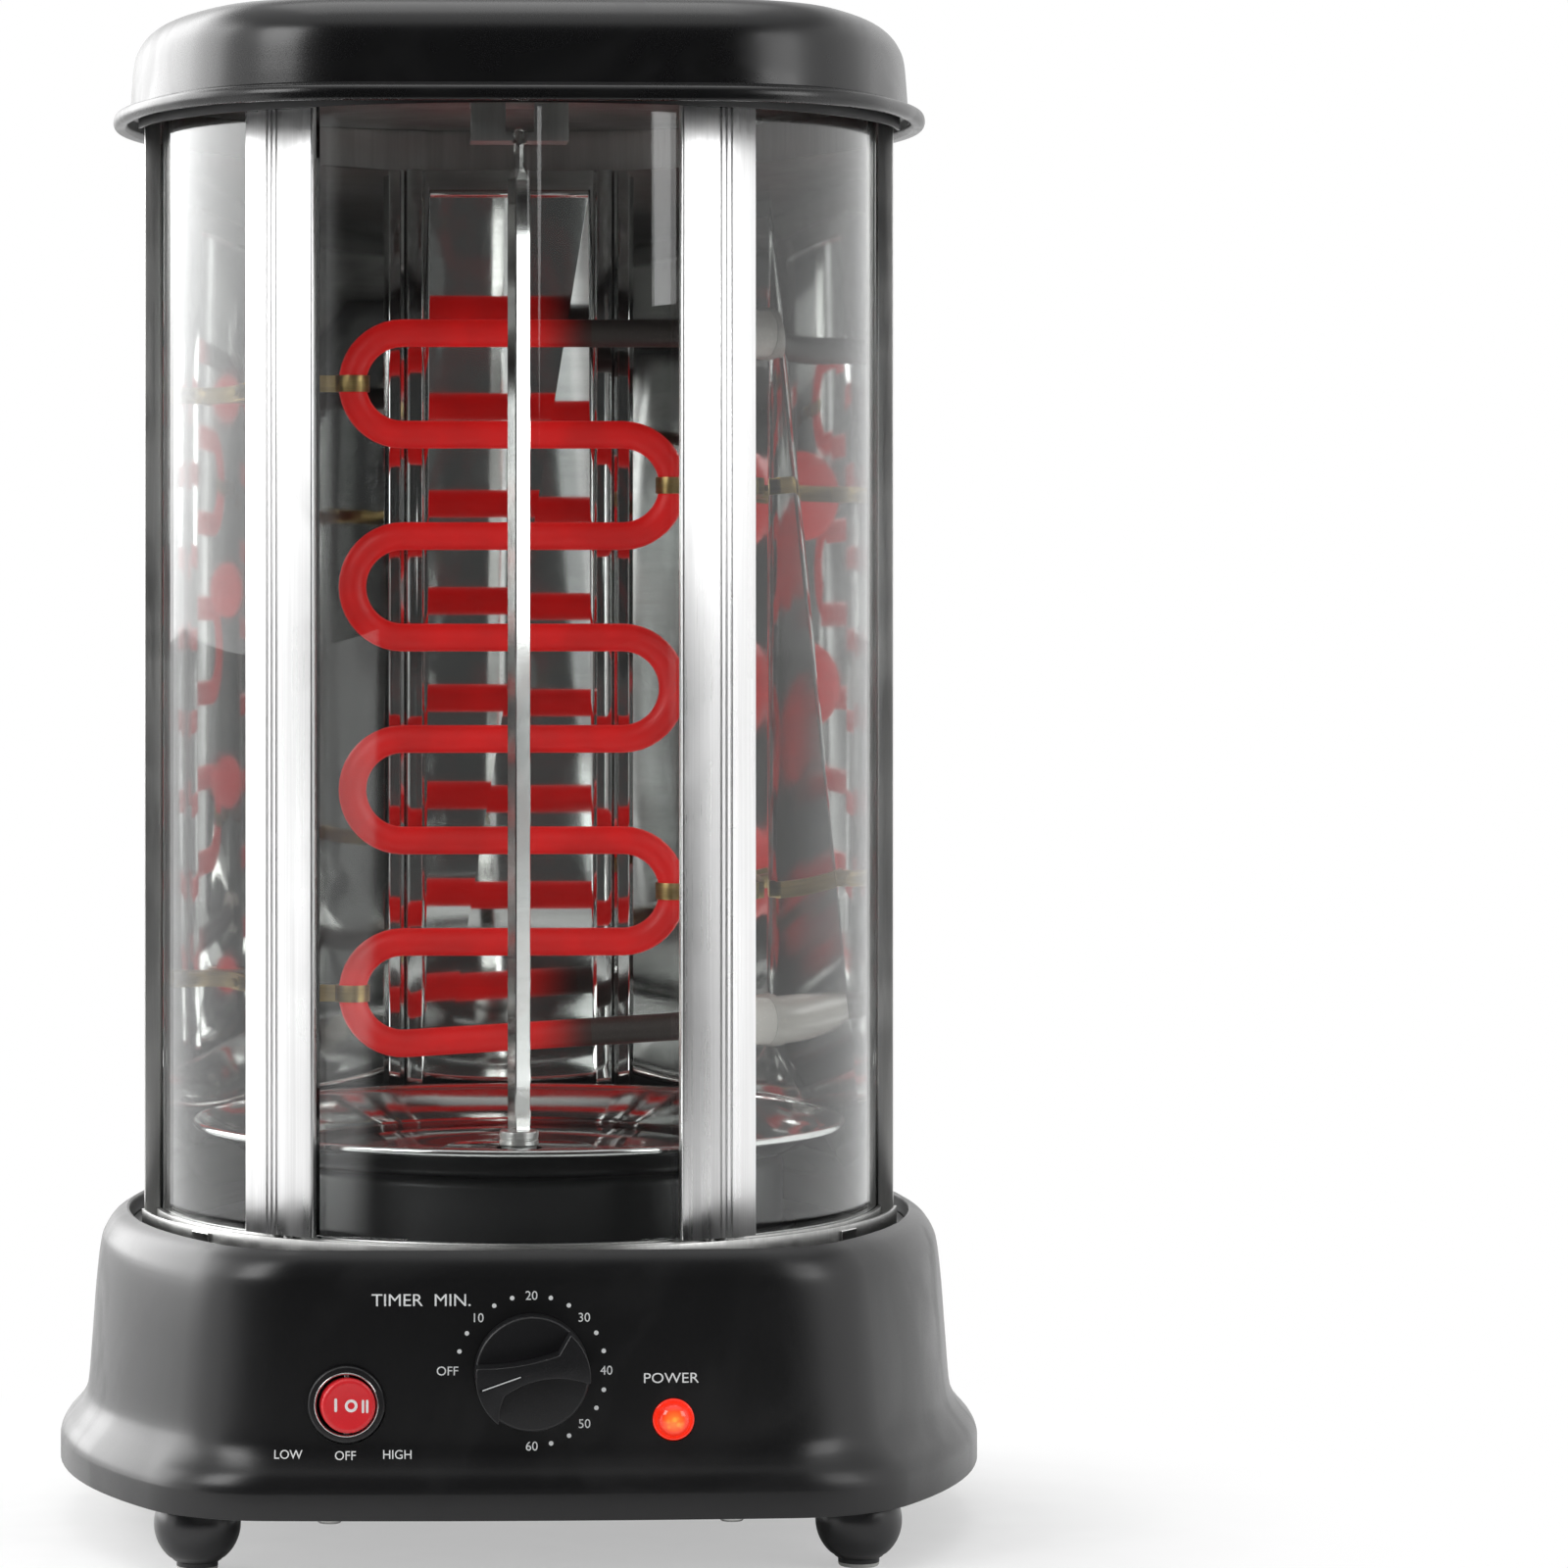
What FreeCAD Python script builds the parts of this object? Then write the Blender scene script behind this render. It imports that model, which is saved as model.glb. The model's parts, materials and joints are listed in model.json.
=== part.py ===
import FreeCAD, Part
import math
import os

# Upright electric doner grill. Millimetres and degrees.
# X runs to the right, Y to the back, Z up from the floor, and the spit stands on the Z axis.
# Drum angles are measured about the drum axis from the front, positive towards the right.

Vec = FreeCAD.Vector
UP = Vec(0, 0, 1)
BACK = Vec(0, 1, 0)
RIGHT = Vec(1, 0, 0)

# Running and seating clearances
fit_gap = 0.3
slide_gap = 0.5
shaft_gap = 0.06
panel_gap = 0.4
hole_gap = 0.2
bush_gap = 0.1
through = 30.0

# Shape of the base in plan, and how far its front and rear follow the sides inwards
base_front_share = 0.52
base_rear_share = 0.60
plan_bow_front = 1500.0
plan_bow_side = 200.0
base_corner = 45.0
corner_share = 0.4

# Room between the drum and the rim of the base
rim_room_side = 2.6
rim_room_front = 1.16
rim_room_rear = 1.4

# Heights and walls of the base
foot_radius = 13.1
foot_ball_lift = 0.8
foot_seat_rise = 5.6
skirt_height = 8.0
base_wall = 2.5
rim_inset = 22.0
ledge_width = 4.0
ledge_drop = 6.4
ledge_thickness = 2.4

# Outside profile of the base above the skirt, as inset from the lip and height above the skirt
base_profile = (
    (0.0, 0.0),
    (0.6, 2.2),
    (2.2, 4.9),
    (5.0, 8.0),
    (7.6, 11.8),
    (9.0, 17.0),
    (10.2, 32.0),
    (11.4, 48.0),
    (12.8, 60.0),
    (14.4, 64.6),
    (17.2, 68.4),
    (21.4, 70.8),
)

# Bottom plate, feet and the screws below, with places measured from the lip of the base
bottom_plate_thickness = 2.0
vent_slot_length = 46.0
vent_slot_width = 4.0
vent_pitch = 11.0
vent_count = 6
foot_from_side = 46.1
foot_from_front = 32.0
foot_from_rear = 38.0
foot_pad_radius = 6.2
foot_pad_height = 2.6
foot_pad_chamfer = 0.5
foot_screw_radius = 2.0
foot_screw_head_radius = 3.8
foot_screw_head_height = 2.6
foot_screw_reach = 7.0
nut_radius = 3.6
nut_height = 3.0
bottom_screw_x = 60.0
bottom_screw_from_edge = 12.0
bottom_screw_radius = 1.9
bottom_screw_head_radius = 3.9
bottom_screw_head_height = 2.2
bottom_screw_head_chamfer = 0.7
cross_reach = 2.2
cross_width = 0.8
cross_depth = 1.0
boss_radius = 4.6
boss_height = 7.0
boss_web = 2.4

# Deck and the seat under the drip pan
deck_thickness = 1.2
deck_slot_width = 44.0
deck_slot_depth = 6.0
deck_slot_behind = 3.0
pan_seat_radius = 84.0
pan_seat_flange = 4.0
pan_seat_height = 22.6
pan_seat_wall = 1.5
pan_seat_hole = 12.0
pan_seat_corner = 3.0

# Drip pan
pan_room = 8.4
pan_floor_radius = 78.0
pan_depth = 10.6
pan_sheet = 0.8
pan_bead = 1.3
pan_hole = 7.4
dish_steps = 4
dish_hollow = 1.7
bead_sides = 10

# Drum of curved glass
drum_axis_y = 9.0
glass_thickness = 3.0
fixed_glass_radius = 112.0
pane_height = 352.6
pane_slack = 0.2
door_glass_gap = 0.5
fixed_glass_front_angle = 33.8
drum_end_angle = 80.7
track_floor = 1.3
track_height = 5.6
track_wall = 1.0
pin_slack = 0.4
door_glass_lift = 0.8
door_head_room = 5.8

# Sliding door with its two grooved bars
door_rest_angle = -5.2
door_half_angle = 33.8
bar_half_angle = 6.3
bar_proud = 2.5
bar_seat_gap = 0.1
bar_edge_radius = 0.7
bar_groove_depth = 0.6
bar_groove_width = 0.7
bar_groove_pitch = 1.9
bar_groove_count = 3
bar_rib_inboard_angle = 2.4
bar_rib_outboard_angle = 5.4
pin_radius = 1.5
pin_spacing = 5.0
pin_grip = 9.0

# Clips that hold the lower track down
clip_angle = 55.0
clip_width = 9.0
clip_sheet = 0.9
clip_foot = 4.2
clip_below_track = 1.2

# Outer back shell and its front posts
post_gap = 0.58
post_side_gap = 0.51
post_width = 5.4
post_depth = 12.0
post_edge = 0.4
shell_axis_y = 2.0
shell_sheet = 1.0
louvre_count = 8
louvre_pitch = 10.0
louvre_length = 60.0
louvre_height = 4.0
louvre_low_rise = 36.9
louvre_high_drop = 120.2

# Reflector behind the element
reflector_sheet = 0.8
reflector_head_room = 4.5
reflector_space = 13.4
reflector_centre_half = 29.0
reflector_rib_depth = 4.5
reflector_rib_width = 6.5
reflector_rib_slope = 1.0
reflector_hem = 4.0
reflector_fold = 6.0
reflector_hem_inset = 1.5
reflector_corner_ahead = 2.0
reflector_rear_corner_out = 29.0
reflector_rear_corner_ahead = 16.0
swage_radius = 1.2
swage_drop = 8.0
swage_inset = 2.0
reflector_bracket_width = 24.0
reflector_bracket_height = 14.0
reflector_bracket_sheet = 1.2
reflector_bracket_rise = 18.9
reflector_bracket_drop = 31.0

# Lid, with its overhang past the shell at the sides and rear and past the track at the front
lid_overhang = 9.9
lid_overhang_front = 7.7
lid_overhang_rear = 8.1
lid_corner = 62.0
lid_drop = 9.6
lid_height = 33.0
lid_sheet = 1.2
lid_curl = 2.3
lid_curl_share = 0.6
lid_groove_inset = 4.5
lid_groove_rise = 0.4

# Outside profile of the lid's crown, as inset from the lip and height above the lip
lid_crown = (
    (5.4, 5.8),
    (5.8, 12.0),
    (6.6, 20.5),
    (8.2, 25.0),
    (11.0, 28.6),
    (15.0, 31.2),
    (20.5, 32.5),
    (34.0, 33.0),
)
lid_plate_rise = 3.2
lid_plate_inset = 7.6
lid_post_radius = 4.5
lid_post_inset_x = 49.3
lid_post_inset_front = 68.2
lid_post_inset_rear = 67.5
lid_screw_radius = 1.6
lid_screw_head_radius = 3.4
lid_screw_head_height = 2.0
lid_screw_length = 12.0
screw_slot_width = 0.8
screw_slot_depth = 0.7
screw_chamfer_share = 0.4
lip_steps = 4

# Upper track under the lid plate
ring_wall = 1.0
ring_depth = 9.7
ring_web = 1.2

# Bracket that steadies the top of the spit
bracket_half_width = 15.5
bracket_sheet = 1.2
bracket_drop = 13.2
bracket_front_y = -8.6
bracket_shelf_rear = 8.0
bracket_foot_rear = 14.0
keyhole_half_width = 4.5
keyhole_sill = 2.4
slot_half_width = 2.25
bracket_screw_radius = 1.6
bracket_screw_head_radius = 2.8
bracket_screw_head_height = 1.6
bracket_screw_length = 5.0
bracket_screw_x = 9.5
bracket_screw_share = 0.6

# Spit and its drive
spit_side = 5.6
spit_turn = 27.6
spit_neck_drop = 8.0
spit_taper = 5.0
spit_tip_rise = 5.0
spit_pin_radius = 1.5
hub_radius = 6.25
hub_height = 5.0
hub_lift = 0.6
hub_chamfer = 0.6
hub_spigot_radius = 5.6
hub_spigot_length = 20.0
hub_socket_depth = 4.0
hub_floor = 3.0
motor_shaft_radius = 3.0
shaft_flat_share = 0.6
bush_radius = 5.2
bush_flange_radius = 7.5
bush_flange_height = 1.2
bush_length = 4.5
motor_radius = 25.0
motor_height = 20.0
motor_drop = 4.0
motor_chamfer = 1.2
gearbox_radius = 19.0
gearbox_height = 14.0
motor_ear_reach = 31.0
motor_ear_width = 11.0
motor_ear_sheet = 1.5
motor_screw_radius = 1.9
motor_screw_head_radius = 3.5
motor_screw_head_height = 2.2
motor_screw_head_chamfer = 0.8
spacer_wall = 1.6

# Heating element
element_space = 41.0
element_radius = 4.6
element_reach = 58.0
element_runs = 8
element_head_room = 71.2
element_foot_room = 16.7
element_tilt = 3.4
element_hot_end = 26.0
element_cold_reach = 7.0
element_sides = 14
bush_tube_radius = 8.0
bush_tube_length = 13.0
bush_neck_step = 1.5
bush_room = 1.49
stud_radius = 2.0
stud_length = 4.6
stud_nut_radius = 3.6
stud_nut_height = 1.8
stud_nut_gap = 1.4
clip_band_height = 5.5
clip_band_wall = 0.8
clip_band_slack = 0.4
clip_ear_thickness = 2.0
clip_bolt_offset = 14.0
clip_bolt_radius = 1.5
clip_bolt_reach = 3.0
clip_bolt_head_radius = 2.7
clip_bolt_head_height = 2.0

# Controls on the front wall, with heights above the underside of the base
front_wall_slack = 0.5
spot_gap = 0.3
knob_rise = 43.7
knob_radius = 17.0
knob_depth = 16.65
knob_chamfer = 0.8
knob_pocket_depth = 9.0
knob_skin = 2.0
knob_hub_radius = 6.0
knob_bore_depth = 9.0

# Pockets in the knob's face, as an arc through three points and then straight sides, from its middle
knob_upper_pocket = ((-20.0, 3.2), (-3.0, 4.1), (7.6, 6.9), (11.0, 12.8), (14.0, 22.0), (-20.0, 22.0))
knob_lower_pocket = ((-8.6, -5.2), (1.5, -0.6), (20.0, -3.4), (20.0, -22.0), (-11.0, -22.0), (-9.9, -9.0))
pointer_start = -16.5
pointer_end = -3.6
pointer_width = 0.7
pointer_depth = 0.9
pointer_rise = 2.0
pointer_lean = 19.0
timer_shaft_radius = 3.0
timer_shaft_inside = 8.0
timer_neck_radius = 5.0
timer_neck_reach = 2.0
timer_plate_half_width = 16.0
timer_plate_half_height = 14.0
timer_plate_sheet = 1.2
timer_can_radius = 24.0
timer_can_depth = 27.0
timer_can_above = 20.0
timer_can_below = 22.0
timer_screw_x = 10.5
timer_screw_radius = 1.8
timer_screw_head_radius = 3.2
timer_screw_head_height = 1.8
timer_screw_length = 7.5
switch_x = -55.0
switch_rise = 33.9
switch_bezel_radius = 11.5
switch_bezel_depth = 2.0
switch_bezel_chamfer = 0.8
switch_well_depth = 7.5
switch_ring_radius = 9.6
switch_ring_wall = 0.6
switch_ring_depth = 1.1
switch_ring_proud = 0.3
switch_button_radius = 8.1
switch_button_depth = 5.6
switch_button_proud = 2.6
switch_button_chamfer = 0.6
switch_button_bowl = 60.0
switch_button_dish = 0.5
switch_body_radius = 9.9
switch_body_depth = 20.0
switch_tilt = 9.0
switch_pivot_depth = 2.2
switch_pin_radius = 1.0
switch_pin_grip = 0.4
lamp_x = 42.2
lamp_rise = 29.0
lamp_flange_radius = 6.2
lamp_flange_depth = 1.0
lamp_flange_chamfer = 0.4
lamp_lens_radius = 5.2
lamp_lens_proud = 3.4
lamp_body_radius = 4.8
lamp_body_depth = 18.0
lamp_nut_step = 2.4
lamp_nut_depth = 3.0
lamp_tail_radius = 0.6
lamp_tail_length = 6.0
lamp_tail_x = 2.0

# Rear wall fittings and what lies inside
gland_rise = 24.5
gland_x = 60.0
gland_flange_radius = 9.0
gland_flange_depth = 2.0
gland_radius = 6.4
gland_bore = 3.7
gland_inside = 8.0
gland_nose = 6.03
gland_nose_step = 0.6
gland_rib_step = 0.2
gland_rib_start = 3.0
gland_rib_pitch = 1.8
gland_rib_count = 2
block_length = 34.0
block_width = 15.0
block_height = 13.0
block_ways = 3
block_bore = 1.8
block_screw_bore = 1.4
block_x = 58.0
block_from_rear = 44.0
cutout_radius = 8.0
cutout_depth = 6.0
cutout_rise = 156.9
blade_width = 4.0
blade_sheet = 0.8
blade_length = 4.0
blade_x = 4.5

# Heights worked out from those above, from the floor upwards
foot_centre_height = foot_radius + foot_ball_lift
base_bottom = foot_centre_height + foot_seat_rise
skirt_top = base_bottom + skirt_height
rim_top = skirt_top + base_profile[-1][1]
deck_bottom = rim_top - ledge_drop
deck_top = deck_bottom + deck_thickness
pan_floor_bottom = deck_top + pan_seat_height
pan_floor_top = pan_floor_bottom + pan_sheet
pan_rim_height = pan_floor_top + pan_depth
hub_bottom = pan_floor_top + hub_lift
hub_top = hub_bottom + hub_height
track_bed = deck_top + track_floor
track_top = deck_top + track_height
door_bottom = track_top + door_glass_lift
drum_glass_top = track_bed + pane_height
lid_plate_height = drum_glass_top + lid_plate_rise
ring_web_bottom = lid_plate_height - ring_web
ring_bottom = lid_plate_height - ring_depth
door_top = ring_web_bottom - door_head_room
lid_bottom = lid_plate_height - lid_drop
lid_top = lid_bottom + lid_height
bracket_bottom = lid_plate_height - bracket_drop
keyhole_bottom = bracket_bottom + keyhole_sill
spit_shoulder = bracket_bottom - spit_neck_drop
spit_tip = bracket_bottom + spit_tip_rise
reflector_top = ring_bottom - reflector_head_room
reflector_bracket_low = deck_top + reflector_bracket_rise
reflector_bracket_high = reflector_top - reflector_bracket_drop
louvre_low_start = deck_top + louvre_low_rise
louvre_high_start = lid_plate_height - louvre_high_drop
element_top = lid_plate_height - element_head_room
element_bottom = pan_rim_height + element_foot_room
element_pitch = (element_top - element_bottom) / (element_runs - 1)
knob_height = base_bottom + knob_rise
switch_height = base_bottom + switch_rise
lamp_height = base_bottom + lamp_rise
gland_height = base_bottom + gland_rise
cutout_height = deck_top + cutout_rise

# Radii and places worked out from the drum of glass outwards
fixed_outer = fixed_glass_radius + glass_thickness
door_inner = fixed_outer + door_glass_gap
door_outer = door_inner + glass_thickness
bar_outer = door_outer + bar_proud
pin_path = door_outer
groove_inner = pin_path - pin_radius - pin_slack
groove_outer = pin_path + pin_radius + pin_slack
track_inner = fixed_glass_radius - pane_slack - track_wall
pan_radius = fixed_glass_radius - pan_room
track_outer = groove_outer + track_wall
ring_outer = bar_outer + slide_gap + ring_wall
post_front_y = drum_axis_y - fixed_outer * math.cos(math.radians(drum_end_angle)) + post_gap
post_inner_x = fixed_outer * math.sin(math.radians(drum_end_angle)) + post_side_gap
shell_radius = post_inner_x + post_width
shell_inside = shell_radius - shell_sheet
reflector_back_y = shell_axis_y + shell_inside - reflector_space
element_y = reflector_back_y - element_space
bush_rear = element_y + bush_tube_radius - shell_axis_y
shell_beside_bush = math.sqrt(shell_inside**2 - bush_rear**2)
reflector_corner = (
    shell_beside_bush - bush_room - bush_tube_length / 2,
    element_y - reflector_corner_ahead,
)
reflector_rear_corner = (
    reflector_centre_half + reflector_rear_corner_out,
    reflector_back_y - reflector_rear_corner_ahead,
)
element_cold_end = reflector_corner[0] + element_cold_reach
element_bend = element_pitch / 2
element_turn_x = element_reach - element_radius - element_bend
lid_half_width = shell_radius + lid_overhang
lid_front = ring_outer - drum_axis_y + lid_overhang_front
lid_rear = shell_axis_y + shell_radius + lid_overhang_rear
base_half_width = track_outer + rim_room_side + rim_inset
base_front = track_outer - drum_axis_y + rim_room_front + base_front_share * rim_inset
base_rear = shell_axis_y + shell_radius + rim_room_rear + base_rear_share * rim_inset
foot_x = base_half_width - foot_from_side
foot_front = base_front - foot_from_front
foot_rear = base_rear - foot_from_rear
bottom_screw_front = base_front - bottom_screw_from_edge
bottom_screw_rear = base_rear - bottom_screw_from_edge
block_y = base_rear - block_from_rear


def plan_point(radius, angle, z, axis_y=drum_axis_y):
    a = math.radians(angle)
    return Vec(radius * math.sin(a), axis_y - radius * math.cos(a), z)


def face_of(edges):
    return Part.Face(Part.Wire(Part.__sortEdges__(edges)))


def polygon(points, z):
    corners = [Vec(x, y, z) for x, y in points]
    return Part.Face(Part.makePolygon(corners + corners[:1]))


def prism(points, low, high):
    return polygon(points, low).extrude(Vec(0, 0, high - low))


def box(x0, x1, y0, y1, z0, z1):
    return Part.makeBox(x1 - x0, y1 - y0, z1 - z0, Vec(x0, y0, z0))


def upright(radius, x, y, low, high):
    return Part.makeCylinder(radius, high - low, Vec(x, y, low), UP)


def level(radius, x, y_start, z, length):
    return Part.makeCylinder(radius, length, Vec(x, y_start, z), BACK)


def fused(shapes):
    shapes = list(shapes)
    return shapes[0].multiFuse(shapes[1:]).removeSplitter() if len(shapes) > 1 else shapes[0]


def group(shapes):
    return Part.makeCompound(list(shapes))


def spun(profile, axis_point=Vec(0, 0, 0), axis=UP):
    """A solid of revolution from a closed list of corner points."""
    face = Part.Face(Part.makePolygon(list(profile) + [profile[0]]))
    return face.revolve(axis_point, axis, 360)


def drum_sector(inner, outer, start, end, low, high):
    """Part of a ring about the drum axis."""
    middle = (start + end) / 2
    outer_arc = Part.Arc(
        plan_point(outer, start, low), plan_point(outer, middle, low), plan_point(outer, end, low)
    ).toShape()
    inner_arc = Part.Arc(
        plan_point(inner, start, low), plan_point(inner, middle, low), plan_point(inner, end, low)
    ).toShape()
    side_a = Part.LineSegment(plan_point(inner, start, low), plan_point(outer, start, low)).toShape()
    side_b = Part.LineSegment(plan_point(inner, end, low), plan_point(outer, end, low)).toShape()
    return face_of([outer_arc, inner_arc, side_a, side_b]).extrude(Vec(0, 0, high - low))


def corner_of_plan(half_width, front, rear, bow_front, bow_side, corner):
    """Centre and ends of the front right corner arc of a bowed rounded rectangle."""
    middle = (rear - front) / 2
    front_centre = Vec(0, bow_front - front, 0)
    side_centre = Vec(half_width - bow_side, middle, 0)
    between = side_centre - front_centre
    distance = between.Length
    reach_front = bow_front - corner
    reach_side = bow_side - corner
    along = (reach_front**2 - reach_side**2 + distance**2) / (2 * distance)
    across = math.sqrt(reach_front**2 - along**2)
    unit = between * (1 / distance)
    normal = Vec(unit.y, -unit.x, 0)
    options = [front_centre + unit * along + normal * (across * sign) for sign in (1, -1)]
    centre = max(options, key=lambda point: point.x)
    front_end = front_centre + (centre - front_centre).normalize() * bow_front
    side_end = side_centre + (centre - side_centre).normalize() * bow_side
    outward = (front_end - centre).normalize() + (side_end - centre).normalize()
    middle_point = centre + outward.normalize() * corner
    return front_end, middle_point, side_end


def bowed_outline(half_width, front, rear, corner, z, inset=0.0):
    """Closed plan outline of eight tangent arcs, symmetric left to right and front to back."""
    middle = (rear - front) / 2
    ends = corner_of_plan(
        half_width, front, rear, plan_bow_front - inset, plan_bow_side - inset, corner
    )

    def placed(point, side, end):
        y = point.y if end > 0 else 2 * middle - point.y
        return Vec(side * point.x, y, z)

    arcs = []
    for side, end in ((1, 1), (1, -1), (-1, -1), (-1, 1)):
        arcs.append(Part.Arc(*[placed(point, side, end) for point in ends]).toShape())
    for end, y in ((1, -front), (-1, rear)):
        arcs.append(
            Part.Arc(placed(ends[0], 1, end), Vec(0, y, z), placed(ends[0], -1, end)).toShape()
        )
    for side in (1, -1):
        arcs.append(
            Part.Arc(
                placed(ends[2], side, 1),
                Vec(side * half_width, middle, z),
                placed(ends[2], side, -1),
            ).toShape()
        )
    return Part.Wire(Part.__sortEdges__(arcs))


def base_outline(inset, z):
    return bowed_outline(
        base_half_width - inset,
        base_front - base_front_share * inset,
        base_rear - base_rear_share * inset,
        base_corner - corner_share * inset,
        z,
        inset,
    )


def lid_outline(inset, z):
    return bowed_outline(
        lid_half_width - inset,
        lid_front - inset,
        lid_rear - inset,
        lid_corner - inset,
        z,
        inset,
    )


def plate(outline, inset, low, high):
    return Part.Face(outline(inset, low)).extrude(Vec(0, 0, high - low))


def lofted(outline, sections):
    """A solid through plan outlines, one for each inset and height."""
    return Part.makeLoft([outline(inset, z) for inset, z in sections], True, True)


def inside_profile(profile, wall):
    """The same profile, moved inwards by a wall thickness square to its face."""
    normals = []
    for (low_inset, low), (high_inset, high) in zip(profile, profile[1:]):
        length = math.hypot(high_inset - low_inset, high - low)
        normals.append(((high - low) / length, -(high_inset - low_inset) / length))
    pairs = zip([normals[0]] + normals, normals + [normals[-1]])
    moved = []
    for (inset, z), (first, second) in zip(profile, pairs):
        mitre = (first[0] + second[0], first[1] + second[1])
        share = wall / (mitre[0] * first[0] + mitre[1] * first[1])
        moved.append((inset + mitre[0] * share, z + mitre[1] * share))
    return moved


def plan_bow(x, inset=0.0):
    """How far the front of the plan falls back from its middle at a given x."""
    bow = plan_bow_front - inset
    return bow - math.sqrt(bow**2 - x**2)


def wall_inset(z):
    """Inset of the outer face of the base at a height."""
    height = z - skirt_top
    inset = 0.0
    for (low_inset, low), (high_inset, high) in zip(base_profile, base_profile[1:]):
        if low <= height <= high:
            inset = low_inset + (high_inset - low_inset) * (height - low) / (high - low)
    return inset


def front_wall_y(x, z):
    inset = wall_inset(z)
    return plan_bow(x, inset) - (base_front - base_front_share * inset)


def rear_wall_y(x, z):
    inset = wall_inset(z)
    return base_rear - base_rear_share * inset - plan_bow(x, inset)


knob_seat = front_wall_y(0, knob_height) + front_wall_slack
switch_seat = front_wall_y(switch_x, switch_height) + front_wall_slack
lamp_seat = front_wall_y(lamp_x, lamp_height) + front_wall_slack
gland_seat = rear_wall_y(gland_x, gland_height) - front_wall_slack


def bent_sheet(points, sheet, low, high):
    """A sheet folded along a plan line, with its thickness shared each side of the line."""
    line = [Vec(x, y, 0) for x, y in points]
    normals = []
    for first, second in zip(line, line[1:]):
        run = (second - first).normalize()
        normals.append(Vec(-run.y, run.x, 0))
    sides = []
    for side in (sheet / 2, -sheet / 2):
        row = [line[0] + normals[0] * side]
        for index in range(1, len(line) - 1):
            mitre = (normals[index - 1] + normals[index]).normalize()
            row.append(line[index] + mitre * (side / mitre.dot(normals[index])))
        row.append(line[-1] + normals[-1] * side)
        sides.append(row)
    corners = sides[0] + sides[1][::-1]
    return prism([(point.x, point.y) for point in corners], low, high)


def mirrored(shape):
    return shape.mirror(Vec(0, 0, 0), RIGHT)


# Base


def boss_places():
    places = []
    for x in (-bottom_screw_x, bottom_screw_x):
        places.append((x, -bottom_screw_front))
        places.append((x, bottom_screw_rear))
    return places


def screw_boss(x, y):
    """A round boss on a web that ties it to the skirt."""
    low = base_bottom + bottom_plate_thickness
    high = low + boss_height
    edge = base_front if y < 0 else base_rear
    wall_y = math.copysign(edge - plan_bow(x) - base_wall / 2, y)
    web = box(x - boss_web / 2, x + boss_web / 2, min(y, wall_y), max(y, wall_y), low, high)
    return [upright(boss_radius, x, y, low, high), web]


def base_shell():
    """Moulded cover: stepped skirt, waisted wall, rolled shoulder and a sunk ledge for the deck."""
    sections = [(inset, skirt_top + height) for inset, height in base_profile]
    skirt = plate(base_outline, 0, base_bottom, skirt_top)
    outer = fused([skirt, lofted(base_outline, sections)])
    inner = inside_profile(sections, base_wall)
    inner_top = rim_top - base_wall
    inner = [(inset, z) for inset, z in inner if z < inner_top - 1]
    inner.append((rim_inset, inner_top))
    well = plate(base_outline, base_wall, base_bottom - 1, skirt_top)
    shell = outer.cut(well).cut(lofted(base_outline, inner))
    shell = shell.cut(plate(base_outline, rim_inset, inner_top - base_wall, rim_top + 1))
    ledge_bottom = deck_bottom - ledge_thickness
    drop = plate(base_outline, rim_inset - base_wall, ledge_bottom, inner_top + base_wall / 3)
    drop = drop.cut(plate(base_outline, rim_inset, deck_bottom, rim_top + 1))
    drop = drop.cut(plate(base_outline, rim_inset + ledge_width, ledge_bottom - 1, deck_bottom + 1))
    pieces = [shell, drop]
    for x, y in boss_places():
        pieces += screw_boss(x, y)
    shell = fused(pieces)
    for x, y in boss_places():
        depth = base_bottom + bottom_plate_thickness + boss_height - 1
        shell = shell.cut(upright(bottom_screw_radius, x, y, 0, depth))
    for seat, x, z, spot, hole in (
        (knob_seat, 0, knob_height, knob_radius + slide_gap, timer_neck_radius),
        (switch_seat, switch_x, switch_height, switch_bezel_radius + spot_gap, switch_body_radius),
        (lamp_seat, lamp_x, lamp_height, lamp_flange_radius + spot_gap, lamp_body_radius),
    ):
        shell = shell.cut(level(spot, x, seat - through, z, through))
        shell = shell.cut(level(hole + hole_gap, x, seat - through, z, 2 * through))
    for x in (-timer_screw_x, timer_screw_x):
        hole = level(timer_screw_radius + hole_gap, x, knob_seat - through, knob_height, 2 * through)
        shell = shell.cut(hole)
    shell = shell.cut(level(gland_flange_radius + spot_gap, gland_x, gland_seat, gland_height, through))
    return shell.cut(level(gland_radius, gland_x, gland_seat - through, gland_height, 2 * through))


def vent_slots(x_middle, y_middle, low, high):
    slots = []
    first = y_middle - vent_pitch * (vent_count - 1) / 2
    for index in range(vent_count):
        y = first + vent_pitch * index
        slots.append(
            box(
                x_middle - vent_slot_length / 2,
                x_middle + vent_slot_length / 2,
                y - vent_slot_width / 2,
                y + vent_slot_width / 2,
                low,
                high,
            )
        )
        for side in (-1, 1):
            x = x_middle + side * vent_slot_length / 2
            slots.append(upright(vent_slot_width / 2, x, y, low, high))
    return fused(slots)


def foot_places():
    return [(x, y) for x in (-foot_x, foot_x) for y in (-foot_front, foot_rear)]


def bottom_plate():
    low = base_bottom
    high = base_bottom + bottom_plate_thickness
    shape = plate(base_outline, base_wall + panel_gap, low, high)
    for x, y in boss_places():
        shape = shape.cut(upright(bottom_screw_radius + hole_gap, x, y, low - 1, high + 1))
    for x, y in foot_places():
        shape = shape.cut(upright(foot_screw_radius, x, y, low - 1, high + 1))
    for x in (-vent_slot_length, vent_slot_length):
        shape = shape.cut(vent_slots(x, 0, low - 1, high + 1))
    return shape


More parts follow.
